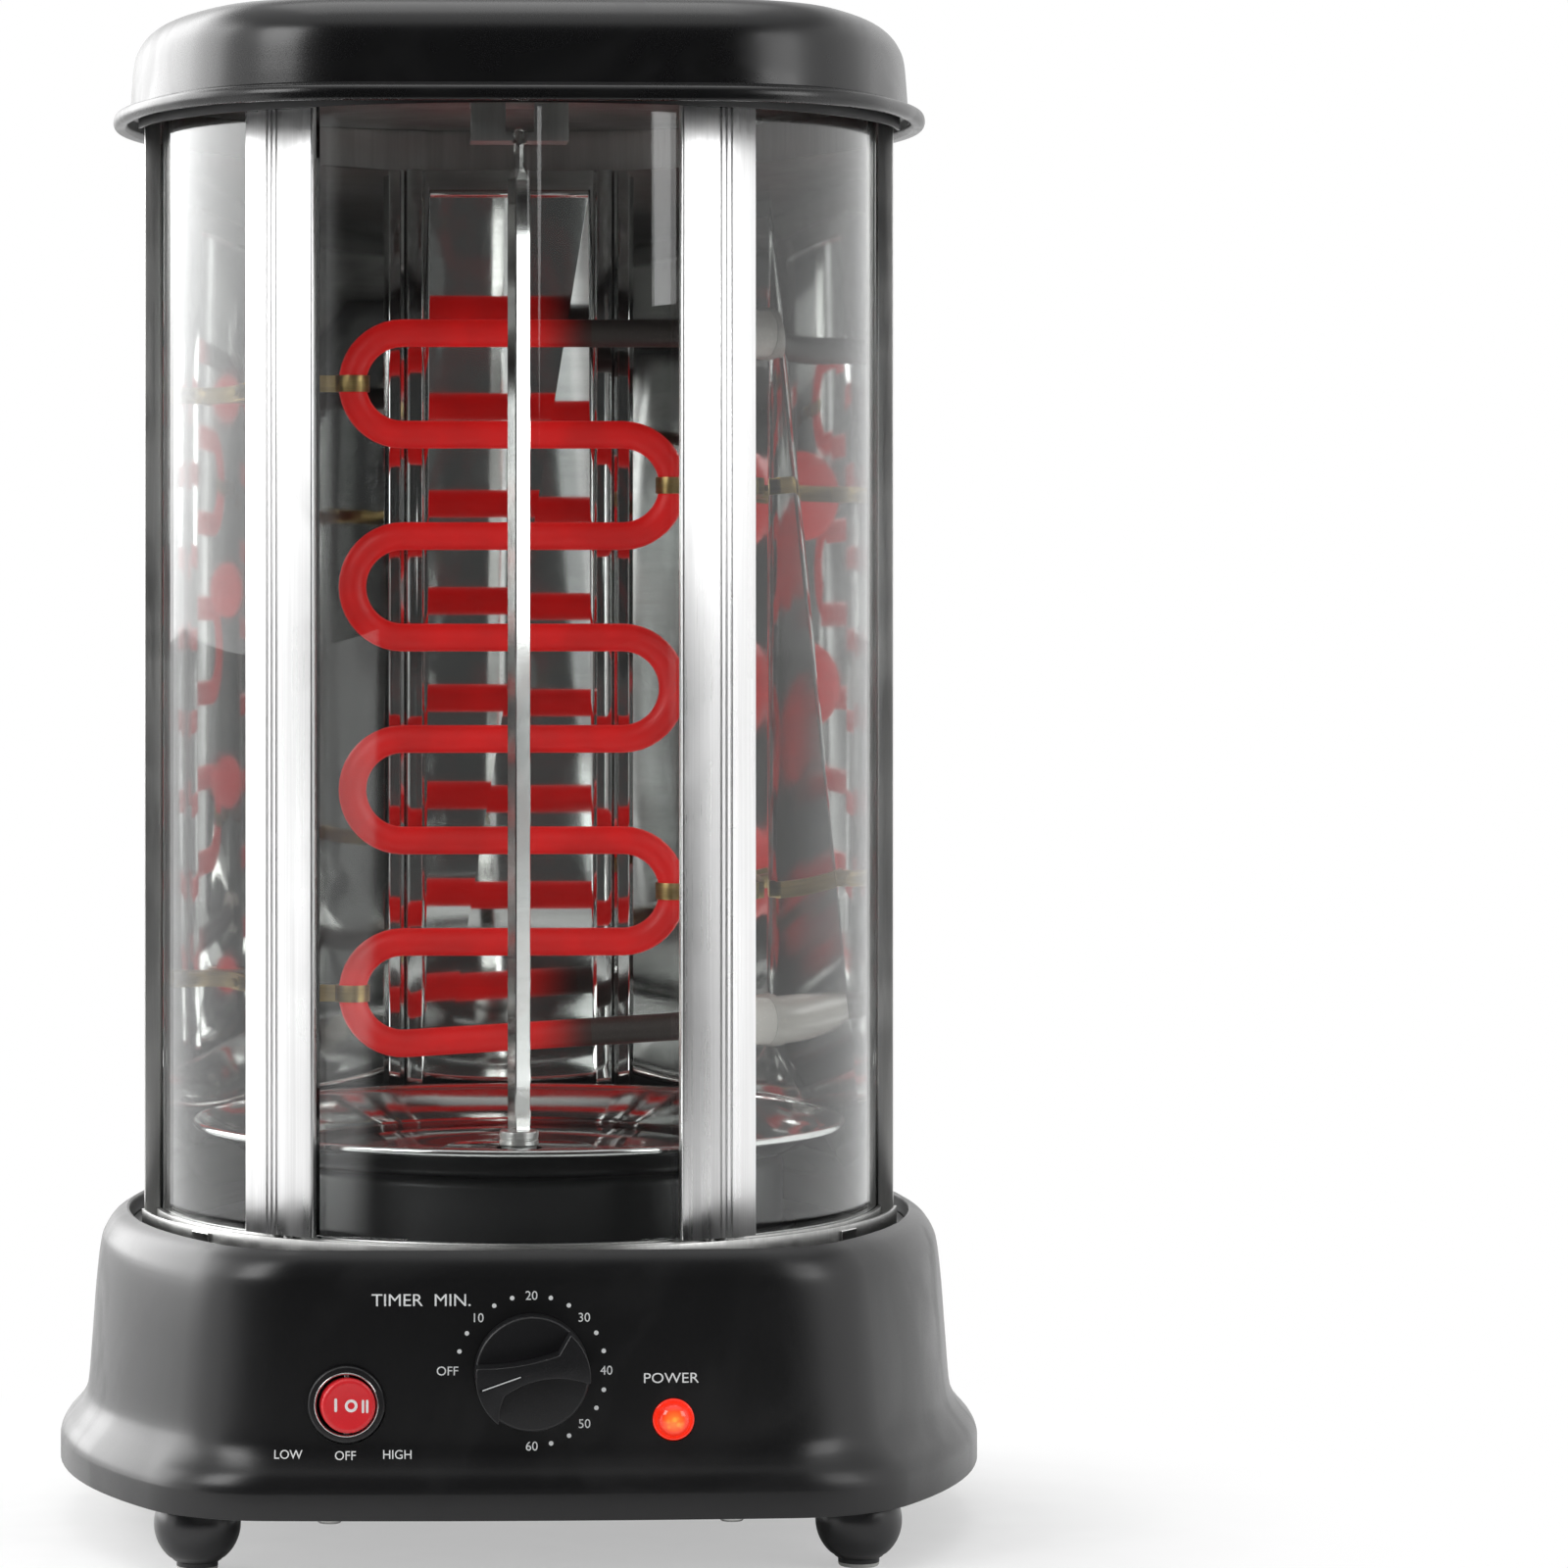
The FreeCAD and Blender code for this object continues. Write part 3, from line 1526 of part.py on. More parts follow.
def clip_bolts():
    """Bolt, head and hexagonal nut through the ear of each strap."""
    bolts = []
    for side, z in clip_places():
        x = side * (element_turn_x + element_bend + clip_bolt_offset)
        half = clip_ear_thickness / 2
        stem_length = clip_ear_thickness + 2 * clip_bolt_reach
        stem = level(clip_bolt_radius, x, element_y - stem_length / 2, z, stem_length)
        head = level(clip_bolt_head_radius, x, element_y + half, z, clip_bolt_head_height)
        nut = hexagon(clip_bolt_head_radius, 0, 0, 0, clip_bolt_head_height)
        nut.rotate(Vec(0, 0, 0), RIGHT, -90)
        nut.translate(Vec(x, element_y - half - clip_bolt_head_height, z))
        bolts.append(fused([stem, head, nut]))
    return group(bolts)


def thermal_cutout():
    """Round safety cut-out on the back of the middle reflector, with two blades."""
    front = reflector_back_y + reflector_sheet / 2
    rear = front + cutout_depth
    low = cutout_height - blade_sheet / 2
    body = level(cutout_radius, 0, front, cutout_height, cutout_depth)
    blades = [
        box(x - blade_width / 2, x + blade_width / 2, rear - 1, rear + blade_length, low, low + blade_sheet)
        for x in (-blade_x, blade_x)
    ]
    return fused([body] + blades)


# Controls


def knob_front():
    return knob_seat - fit_gap - knob_depth


def knob_pocket(points):
    """A pocket outline in the plane of the knob face, extruded backwards from in front of it."""
    corners = [Vec(x, knob_front() - 1, knob_height + z) for x, z in points[2:]]
    first = Vec(points[0][0], knob_front() - 1, knob_height + points[0][1])
    middle = Vec(points[1][0], knob_front() - 1, knob_height + points[1][1])
    arc = Part.Arc(first, middle, corners[0]).toShape()
    lines = []
    loop = corners + [first]
    for start, end in zip(loop, loop[1:]):
        lines.append(Part.LineSegment(start, end).toShape())
    return Part.Face(Part.Wire([arc] + lines)).extrude(Vec(0, knob_pocket_depth + 1, 0))


def timer_knob():
    """Round knob with two scooped pockets that leave a waisted grip across its face."""
    back = knob_seat - fit_gap
    knob = level(knob_radius, 0, knob_front(), knob_height, knob_depth)
    knob = knob.makeChamfer(knob_chamfer, [edge for edge in knob.Edges if edge.Vertexes[0].Y < back - 1])
    knob = knob.cut(knob_pocket(knob_upper_pocket)).cut(knob_pocket(knob_lower_pocket))
    slit_front = knob_front() - 1
    half = pointer_width / 2
    slit = box(pointer_start, pointer_end, slit_front, knob_front() + pointer_depth, -half, half)
    slit.rotate(Vec(0, 0, 0), BACK, -pointer_lean)
    slit.translate(Vec(0, 0, knob_height + pointer_rise))
    knob = knob.cut(slit)
    hollow_front = knob_front() + knob_pocket_depth + knob_skin
    hollow = level(knob_radius - knob_skin, 0, hollow_front, knob_height, knob_depth)
    hollow = hollow.cut(level(knob_hub_radius, 0, knob_front(), knob_height, 2 * knob_depth))
    knob = knob.cut(hollow)
    return knob.cut(level(timer_shaft_radius, 0, back - knob_bore_depth, knob_height, knob_depth))


def timer_shaft():
    start = knob_seat - fit_gap - knob_bore_depth
    length = knob_bore_depth + base_wall + timer_shaft_inside
    return level(timer_shaft_radius, 0, start, knob_height, length)


def timer_body():
    """Round clockwork timer behind the wall with its mounting plate and neck."""
    plate_front = knob_seat + base_wall + front_wall_slack
    plate_rear = plate_front + timer_plate_sheet
    can_rear = plate_rear + timer_can_depth
    mount = box(
        -timer_plate_half_width,
        timer_plate_half_width,
        plate_front,
        plate_rear,
        knob_height - timer_plate_half_height,
        knob_height + timer_plate_half_height,
    )
    can = level(timer_can_radius, 0, plate_rear, knob_height, timer_can_depth)
    low, high = knob_height - timer_can_below, knob_height + timer_can_above
    can = can.common(box(-timer_can_radius, timer_can_radius, plate_rear, can_rear, low, high))
    neck = level(timer_neck_radius, 0, knob_seat + hole_gap, knob_height, base_wall + timer_neck_reach)
    body = fused([mount, can, neck])
    bore_depth = base_wall + timer_shaft_inside + timer_plate_sheet
    body = body.cut(level(timer_shaft_radius + shaft_gap, 0, knob_seat, knob_height, bore_depth))
    for x in (-timer_screw_x, timer_screw_x):
        body = body.cut(level(timer_screw_radius, x, knob_seat, knob_height, timer_screw_length + 1))
    return body


def timer_screws():
    screws = []
    head_front = knob_seat - timer_screw_head_height
    for x in (-timer_screw_x, timer_screw_x):
        head = level(timer_screw_head_radius, x, head_front, knob_height, timer_screw_head_height)
        stem_length = timer_screw_head_height + timer_screw_length
        stem = level(timer_screw_radius, x, head_front, knob_height, stem_length)
        screws.append(fused([head, stem]))
    return group(screws)


def switch_pivot_y():
    return switch_seat - switch_bezel_depth + switch_pivot_depth


def switch_housing():
    """Round bezel and barrel with a well for the button and a hole each side for its pin."""
    front = switch_seat - switch_bezel_depth
    bezel = level(switch_bezel_radius, switch_x, front, switch_height, switch_bezel_depth)
    bezel = bezel.makeChamfer(
        switch_bezel_chamfer, [edge for edge in bezel.Edges if edge.Vertexes[0].Y < switch_seat - 1]
    )
    barrel = level(switch_body_radius, switch_x, front + 1, switch_height, switch_body_depth)
    housing = fused([bezel, barrel])
    well_radius = switch_ring_radius - switch_ring_wall - hole_gap
    housing = housing.cut(level(well_radius, switch_x, front - 1, switch_height, 1 + switch_well_depth))
    ring_depth = switch_ring_depth - switch_ring_proud
    housing = housing.cut(level(switch_ring_radius, switch_x, front - 1, switch_height, 1 + ring_depth))
    pivot = upright(
        switch_pin_radius + shaft_gap,
        switch_x,
        switch_pivot_y(),
        switch_height - switch_bezel_radius,
        switch_height + switch_bezel_radius,
    )
    pivot = pivot.common(level(switch_body_radius, switch_x, front, switch_height, switch_body_depth))
    return housing.cut(pivot)


def switch_trim_ring():
    front = switch_seat - switch_bezel_depth - switch_ring_proud
    ring = level(switch_ring_radius, switch_x, front, switch_height, switch_ring_depth)
    hole = level(
        switch_ring_radius - switch_ring_wall, switch_x, front - 1, switch_height, switch_ring_depth + 2
    )
    return ring.cut(hole)


def tilted_button(shape):
    shape.rotate(Vec(switch_x, switch_pivot_y(), switch_height), UP, switch_tilt)
    return shape


def switch_button():
    """Round rocker button with a dished face, shown pressed on its right side."""
    front = switch_seat - switch_bezel_depth - switch_button_proud
    button = level(switch_button_radius, switch_x, front, switch_height, switch_button_depth)
    button = button.makeChamfer(
        switch_button_chamfer, [edge for edge in button.Edges if edge.Vertexes[0].Y < front + 1]
    )
    bowl_y = front - switch_button_bowl + switch_button_dish
    bowl = Part.makeSphere(switch_button_bowl, Vec(switch_x, bowl_y, switch_height))
    button = button.cut(bowl)
    button = button.cut(
        upright(
            switch_pin_radius,
            switch_x,
            switch_pivot_y(),
            switch_height - switch_button_radius - 1,
            switch_height + switch_button_radius + 1,
        )
    )
    return tilted_button(button)


def switch_pin():
    reach = switch_ring_radius - switch_ring_wall + switch_pin_grip
    return upright(
        switch_pin_radius, switch_x, switch_pivot_y(), switch_height - reach, switch_height + reach
    )


def lamp_lens():
    """Domed round lens with a flat flange."""
    front = lamp_seat - lamp_flange_depth
    flange = level(lamp_flange_radius, lamp_x, front, lamp_height, lamp_flange_depth)
    flange = flange.makeChamfer(
        lamp_flange_chamfer, [edge for edge in flange.Edges if edge.Vertexes[0].Y < lamp_seat]
    )
    dome_radius = (lamp_lens_radius**2 + lamp_lens_proud**2) / (2 * lamp_lens_proud)
    dome = Part.makeSphere(dome_radius, Vec(lamp_x, front - lamp_lens_proud + dome_radius, lamp_height))
    dome_front = front - 2 * lamp_lens_proud
    dome_depth = 2 * lamp_lens_proud + lamp_flange_depth / 2
    dome = dome.common(level(lamp_lens_radius, lamp_x, dome_front, lamp_height, dome_depth))
    return fused([flange, dome])


def lamp_body():
    """Closed lamp with a nut behind the wall and two terminal tails."""
    body = level(lamp_body_radius, lamp_x, lamp_seat, lamp_height, lamp_body_depth)
    rear = lamp_seat + lamp_body_depth
    tails = [
        level(lamp_tail_radius, lamp_x + x, rear - 1, lamp_height, 1 + lamp_tail_length)
        for x in (-lamp_tail_x, lamp_tail_x)
    ]
    nut_front = lamp_seat + base_wall + front_wall_slack
    nut = level(lamp_body_radius + lamp_nut_step, lamp_x, nut_front, lamp_height, lamp_nut_depth)
    return fused([body, nut] + tails)


def cord_gland():
    """Flanged gland in the rear wall, open right through."""
    flange = level(gland_flange_radius, gland_x, gland_seat, gland_height, gland_flange_depth)
    nose = level(gland_radius - gland_nose_step, gland_x, gland_seat, gland_height, gland_nose)
    neck = level(gland_radius - hole_gap, gland_x, gland_seat - gland_inside, gland_height, gland_inside)
    ribs = []
    for index in range(gland_rib_count):
        rib_y = gland_seat + gland_rib_start + gland_rib_pitch * index
        ribs.append(level(gland_radius + gland_rib_step, gland_x, rib_y, gland_height, gland_rib_pitch / 2))
    body = fused([flange, nose, neck] + ribs)
    return body.cut(level(gland_bore, gland_x, gland_seat - through, gland_height, 2 * through))


def terminal_block():
    """Three-way terminal block on the bottom plate."""
    low = base_bottom + bottom_plate_thickness
    middle = low + block_height / 2
    block = box(
        block_x - block_length / 2,
        block_x + block_length / 2,
        block_y - block_width / 2,
        block_y + block_width / 2,
        low,
        low + block_height,
    )
    for index in range(block_ways):
        x = block_x + (index - (block_ways - 1) / 2) * block_length / block_ways
        block = block.cut(level(block_bore, x, block_y - block_width, middle, 2 * block_width))
        block = block.cut(upright(block_screw_bore, x, block_y, middle, low + block_height + 1))
    return block


def export(name, shape):
    shape.exportStep("parts/" + name + ".step")


def build():
    os.makedirs("parts", exist_ok=True)
    nodes = {
        "base_shell": base_shell(),
        "bottom_plate": bottom_plate(),
        "feet": feet(),
        "foot_pads": foot_pads(),
        "foot_screws": foot_screws(),
        "bottom_screws": bottom_screws(),
        "deck_plate": deck_plate(),
        "pan_seat": pan_seat(),
        "drip_pan": drip_pan(),
        "lower_door_track": lower_door_track(),
        "upper_door_track": upper_door_track(),
        "track_clips": track_clips(),
        "side_glass_left": side_glass(-1),
        "side_glass_right": side_glass(1),
        "door_glass": door_glass(),
        "door_bar_left": door_bar(-1),
        "door_bar_right": door_bar(1),
        "door_pins": door_pins(),
        "back_shell": back_shell(),
        "reflector_centre": reflector_centre(),
        "reflector_left": reflector_side(-1),
        "reflector_right": reflector_side(1),
        "reflector_brackets": reflector_brackets(),
        "lid_cap": lid_cap(),
        "lid_plate": lid_plate(),
        "lid_screws": lid_screws(),
        "top_bracket": top_bracket(),
        "bracket_screws": bracket_screws(),
        "spit": spit(),
        "drive_hub": drive_hub(),
        "motor_shaft": motor_shaft(),
        "deck_bush": deck_bush(),
        "gear_motor": gear_motor(),
        "motor_spacers": motor_spacers(),
        "motor_screws": motor_screws(),
        "heating_element": heating_element(),
        "element_cold_ends": element_cold_ends(),
        "element_bushes": element_bushes(),
        "element_terminals": element_terminals(),
        "element_clips": element_clips(),
        "clip_bolts": clip_bolts(),
        "thermal_cutout": thermal_cutout(),
        "timer_knob": timer_knob(),
        "timer_shaft": timer_shaft(),
        "timer_body": timer_body(),
        "timer_screws": timer_screws(),
        "switch_housing": switch_housing(),
        "switch_trim_ring": switch_trim_ring(),
        "switch_button": switch_button(),
        "switch_pin": switch_pin(),
        "lamp_lens": lamp_lens(),
        "lamp_body": lamp_body(),
        "cord_gland": cord_gland(),
        "terminal_block": terminal_block(),
    }
    for name, shape in nodes.items():
        export(name, shape)


build()
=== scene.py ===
import json
import logging
import math
from collections.abc import Callable, Iterable, Sequence
from dataclasses import dataclass
from enum import Enum
from functools import cache

import bmesh
import bpy
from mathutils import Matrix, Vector


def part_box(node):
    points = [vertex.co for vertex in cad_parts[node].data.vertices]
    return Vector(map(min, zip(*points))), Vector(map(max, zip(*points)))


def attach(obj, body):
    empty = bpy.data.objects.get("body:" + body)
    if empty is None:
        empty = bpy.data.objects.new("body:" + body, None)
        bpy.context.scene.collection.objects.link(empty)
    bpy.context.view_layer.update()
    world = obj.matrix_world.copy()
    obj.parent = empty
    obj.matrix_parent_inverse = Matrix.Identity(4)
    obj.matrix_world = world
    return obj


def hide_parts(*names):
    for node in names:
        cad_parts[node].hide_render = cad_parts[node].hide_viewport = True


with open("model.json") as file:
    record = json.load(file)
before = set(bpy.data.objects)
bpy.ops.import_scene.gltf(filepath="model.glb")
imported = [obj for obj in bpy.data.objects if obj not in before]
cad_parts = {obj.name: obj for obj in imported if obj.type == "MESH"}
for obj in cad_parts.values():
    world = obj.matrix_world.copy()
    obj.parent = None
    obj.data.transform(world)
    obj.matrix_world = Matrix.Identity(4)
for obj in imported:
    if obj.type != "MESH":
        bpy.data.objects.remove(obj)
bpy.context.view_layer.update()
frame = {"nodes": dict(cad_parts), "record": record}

# Looks of an upright electric doner grill. Sizes are in millimetres, turned into metres as a mesh is made.
# X runs to the right, Y to the back, Z up from the floor, and the spit stands on the Z axis.

MM = 0.001
WELD = 1e-6
log = logging.getLogger("doner_grill")

Point = tuple[float, float, float]
Flat = tuple[float, float]
Colour = tuple[float, float, float]
Socket = bpy.types.NodeSocket
Sockets = bpy.types.bpy_prop_collection
Thing = bpy.types.Object


class Body(str, Enum):
    """The moving bodies of the grill."""

    GRILL = "grill"
    SPIT = "spit"
    DOOR = "door"
    KNOB = "knob"
    ROCKER = "rocker"


class Slot(str, Enum):
    """The record's material slots."""

    BLACK_ENAMEL = "black_enamel"
    LID_ENAMEL = "lid_enamel"
    POLISHED_STEEL = "polished_steel"
    BRUSHED_STEEL = "brushed_steel"
    REFLECTOR_STEEL = "reflector_steel"
    ZINC_STEEL = "zinc_steel"
    CLEAR_GLASS = "clear_glass"
    BAR_ALUMINIUM = "bar_aluminium"
    ELEMENT_SHEATH = "element_sheath"
    COLD_SHEATH = "cold_sheath"
    BRASS = "brass"
    CERAMIC = "ceramic"
    PAD_RUBBER = "pad_rubber"
    FOOT_PLASTIC = "foot_plastic"
    KNOB_PLASTIC = "knob_plastic"
    SWITCH_PLASTIC = "switch_plastic"
    SWITCH_RED = "switch_red"
    LAMP_RED = "lamp_red"
    SEAT_ENAMEL = "seat_enamel"
    PLATED_STEEL = "plated_steel"
    MOTOR_STEEL = "motor_steel"
    INNER_PLASTIC = "inner_plastic"


class Turn(Enum):
    """The axis that a turned piece is spun about."""

    UPRIGHT = "upright"
    LEVEL = "level"


# Meshes


class Form:
    """Corner points in millimetres and the faces between them, gathered before they become a mesh."""

    def __init__(self) -> None:
        """Starts with nothing."""
        self.points: list[Point] = []
        self.faces: list[tuple[int, ...]] = []

    def ring(self, points: Iterable[Point]) -> list[int]:
        """Adds points.

        Args:
            points: The points, in order.

        Returns:
            Their numbers in this form.
        """
        start = len(self.points)
        self.points.extend(points)
        return list(range(start, len(self.points)))

    def band(self, first: list[int], second: list[int], closed: bool = True) -> None:
        """Joins two rings of the same length with four-sided faces.

        Args:
            first: Point numbers of one ring.
            second: Point numbers of the other.
            closed: Whether the last points join the first ones.
        """
        count = len(first)
        for index in range(count if closed else count - 1):
            after = (index + 1) % count
            self.faces.append((first[index], first[after], second[after], second[index]))

    def loft(self, rings: Iterable[Sequence[Point]], looped: bool = False) -> "Form":
        """Skins a row of rings, and caps its two ends unless it is looped.

        Args:
            rings: Rings with equal numbers of points.
            looped: Whether the last ring joins the first.

        Returns:
            This form.
        """
        numbers = [self.ring(ring) for ring in rings]
        pairs = list(zip(numbers, numbers[1:]))
        if looped:
            pairs.append((numbers[-1], numbers[0]))
        for first, second in pairs:
            self.band(first, second)
        if not looped:
            self.faces.append(tuple(reversed(numbers[0])))
            self.faces.append(tuple(numbers[-1]))
        return self

    def join(self, other: "Form") -> "Form":
        """Adds another form to this one.

        Args:
            other: The form to add.

        Returns:
            This form.
        """
        start = len(self.points)
        self.points.extend(other.points)
        self.faces.extend(tuple(start + number for number in face) for face in other.faces)
        return self

    def moved(self, change: Callable[[Point], Point]) -> "Form":
        """Puts every point somewhere else.

        Args:
            change: Gives the new place of a point.

        Returns:
            This form.
        """
        self.points = [change(point) for point in self.points]
        return self


def made(form: Form, name: str) -> Thing:
    """Makes a mesh object from a form.

    Args:
        form: Points in millimetres and faces.
        name: The object's name.

    Returns:
        The object, welded, with its faces turned outwards.
    """
    mesh = bpy.data.meshes.new(name)
    mesh.from_pydata([tuple(value * MM for value in point) for point in form.points], [], form.faces)
    work = bmesh.new()
    work.from_mesh(mesh)
    bmesh.ops.remove_doubles(work, verts=work.verts, dist=WELD)
    bmesh.ops.delete(work, geom=[edge for edge in work.edges if not edge.link_faces], context="EDGES")
    bmesh.ops.recalc_face_normals(work, faces=work.faces)
    work.to_mesh(mesh)
    work.free()
    thing = bpy.data.objects.new(name, mesh)
    bpy.context.scene.collection.objects.link(thing)
    return thing


def settled(thing: Thing) -> Thing:
    """Turns a piece's modifiers into plain mesh.

    Args:
        thing: The piece.

    Returns:
        The same piece with no modifiers.
    """
    bpy.context.view_layer.update()
    graph = bpy.context.evaluated_depsgraph_get()
    mesh = bpy.data.meshes.new_from_object(thing.evaluated_get(graph))
    thing.modifiers.clear()
    old = thing.data
    thing.data = mesh
    bpy.data.meshes.remove(old)
    return thing


def eased(thing: Thing, width: float, steps: int = 2, angle: float = 38.0) -> Thing:
    """Rounds the sharp edges of a piece.

    Args:
        thing: The piece.
        width: Width of the rounding in millimetres.
        steps: Faces across the rounding.
        angle: The least fold, in degrees, that counts as an edge.

    Returns:
        The same piece.
    """
    bevel = thing.modifiers.new("ease", "BEVEL")
    bevel.width = width * MM
    bevel.segments = steps
    bevel.limit_method = "ANGLE"
    bevel.angle_limit = math.radians(angle)
    bevel.miter_outer = "MITER_ARC"
    return settled(thing)


def carved(thing: Thing, cutter: Thing) -> Thing:
    """Cuts one piece with another, which is used up.

    Args:
        thing: The piece to cut.
        cutter: The shape that is taken away.

    Returns:
        The cut piece.
    """
    cut = thing.modifiers.new("carve", "BOOLEAN")
    cut.operation = "DIFFERENCE"
    cut.solver = "EXACT"
    cut.object = cutter
    settled(thing)
    bpy.data.objects.remove(cutter)
    return thing


def shaded(thing: Thing, angle: float = 32.0) -> Thing:
    """Shades a piece smoothly, with sharp edges where it folds.

    Args:
        thing: The piece.
        angle: The least fold, in degrees, that stays sharp.

    Returns:
        The same piece.
    """
    mesh = thing.data
    mesh.polygons.foreach_set("use_smooth", [True] * len(mesh.polygons))
    mesh.set_sharp_from_angle(angle=math.radians(angle))
    mesh.update()
    return thing


def bench_copy(node: str, ease: float, steps: int = 2) -> Thing:
    """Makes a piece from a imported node, with flat faces made whole and edges eased.

    Args:
        node: The node's name.
        ease: Width of its edge rounding in millimetres, or 0 for none.
        steps: Faces across the rounding.

    Returns:
        The new piece.
    """
    source = frame["nodes"][node].data
    form = Form()
    form.points = [tuple(value / MM for value in vertex.co) for vertex in source.vertices]
    form.faces = [tuple(face.vertices) for face in source.polygons]
    thing = made(form, node + ".finished")
    work = bmesh.new()
    work.from_mesh(thing.data)
    bmesh.ops.dissolve_limit(
        work, angle_limit=math.radians(0.6), verts=work.verts, edges=work.edges, delimit=set()
    )
    work.to_mesh(thing.data)
    work.free()
    return eased(thing, ease, steps) if ease > 0 else thing


def bench_piece(node: str, slot: Slot, ease: float, steps: int = 2) -> Thing:
    """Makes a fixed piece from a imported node, with its edges eased and its finish on."""
    return placed(bench_copy(node, ease, steps), Body.GRILL, slot, node)


def spun(
    profile: Sequence[Flat], centre: Flat = (0.0, 0.0), turn: Turn = Turn.UPRIGHT, steps: int = 96
) -> Form:
    """Turns a closed profile about an axis.

    Args:
        profile: Radius and place along the axis of each corner.
        centre: Where the axis stands, as x and y if upright, or x and z if level.
        turn: Which way the axis runs.
        steps: Faces round the piece.

    Returns:
        The turned form.
    """
    rings = []
    for index in range(steps):
        a = math.tau * index / steps
        ring = []
        for radius, along in profile:
            side = centre[0] + radius * math.cos(a)
            other = centre[1] + radius * math.sin(a)
            ring.append((side, other, along) if turn is Turn.UPRIGHT else (side, along, other))
        rings.append(ring)
    return Form().loft(rings, looped=True)


def prism(outline: Sequence[Flat], low: float, high: float) -> Form:
    """Extrudes a plan outline upwards.

    Args:
        outline: Corners as x and y.
        low: Height of its foot.
        high: Height of its top.

    Returns:
        The form.
    """
    return Form().loft([[(x, y, z) for x, y in outline] for z in (low, high)])


def block(x: Flat, y: Flat, z: Flat) -> Form:
    """Makes a box from its three ranges, in millimetres."""
    return prism([(x[0], y[0]), (x[1], y[0]), (x[1], y[1]), (x[0], y[1])], *z)


def arc(centre: Flat, radius: float, start: float, end: float, steps: int) -> list[Flat]:
    """Gives points along an arc.

    Args:
        centre: Its centre.
        radius: Its radius.
        start: First angle in degrees.
        end: Last angle in degrees.
        steps: How many stretches it is divided into.

    Returns:
        The points, both ends among them.
    """
    found = []
    for index in range(steps + 1):
        a = math.radians(start + (end - start) * index / steps)
        found.append((centre[0] + radius * math.cos(a), centre[1] + radius * math.sin(a)))
    return found


def arc_through(first: Flat, middle: Flat, last: Flat, steps: int) -> list[Flat]:
    """Gives points along the arc through three points.

    Args:
        first: Where it starts.
        middle: A point on it.
        last: Where it ends.
        steps: How many stretches it is divided into.

    Returns:
        The points, both ends among them.
    """
    (ax, ay), (bx, by), (cx, cy) = first, middle, last
    scale = 2 * (ax * (by - cy) + bx * (cy - ay) + cx * (ay - by))
    a2, b2, c2 = ax**2 + ay**2, bx**2 + by**2, cx**2 + cy**2
    x = (a2 * (by - cy) + b2 * (cy - ay) + c2 * (ay - by)) / scale
    y = (a2 * (cx - bx) + b2 * (ax - cx) + c2 * (bx - ax)) / scale
    start = math.degrees(math.atan2(ay - y, ax - x))
    end = math.degrees(math.atan2(cy - y, cx - x))
    through = math.degrees(math.atan2(by - y, bx - x))
    forward = (end - start) % 360
    sweep = forward if (through - start) % 360 < forward else forward - 360
    return arc((x, y), math.hypot(ax - x, ay - y), start, start + sweep, steps)


def smoothed(points: Sequence[Flat], steps: int) -> list[Flat]:
    """Runs a smooth curve through points.

    Args:
        points: The points to pass through.
        steps: New points for each stretch between two of them.

    Returns:
        The finer row of points.
    """
    row = [points[0], *points, points[-1]]
    found = []
    for before, start, end, after in zip(row, row[1:], row[2:], row[3:]):
        for index in range(steps):
            t = index / steps
            found.append(
                tuple(
                    0.5
                    * (
                        2 * b
                        + (c - a) * t
                        + (2 * a - 5 * b + 4 * c - d) * t * t
                        + (3 * b - a - 3 * c + d) * t**3
                    )
                    for a, b, c, d in zip(before, start, end, after)
                )
            )
    return [*found, points[-1]]


def placed(thing: Thing, body: Body, slot: Slot, *nodes: str, angle: float = 32.0) -> Thing:
    """Shades a piece, gives it its finish and ties it to the frame.

    Args:
        thing: The piece.
        body: The body it rides on.
        slot: The material slot it takes its finish from.
        *nodes: The CAD nodes that it stands for.
        angle: The least fold, in degrees, that stays sharp.

    Returns:
        The same piece.
    """
    shaded(thing, angle)
    thing.data.materials.clear()
    thing.data.materials.append(FINISHES[slot].material())
    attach(thing, body.value)
    if nodes:
        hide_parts(*nodes)
    log.info("%s on %s, %d faces", thing.name, body.value, len(thing.data.polygons))
    return thing


# Shader helpers


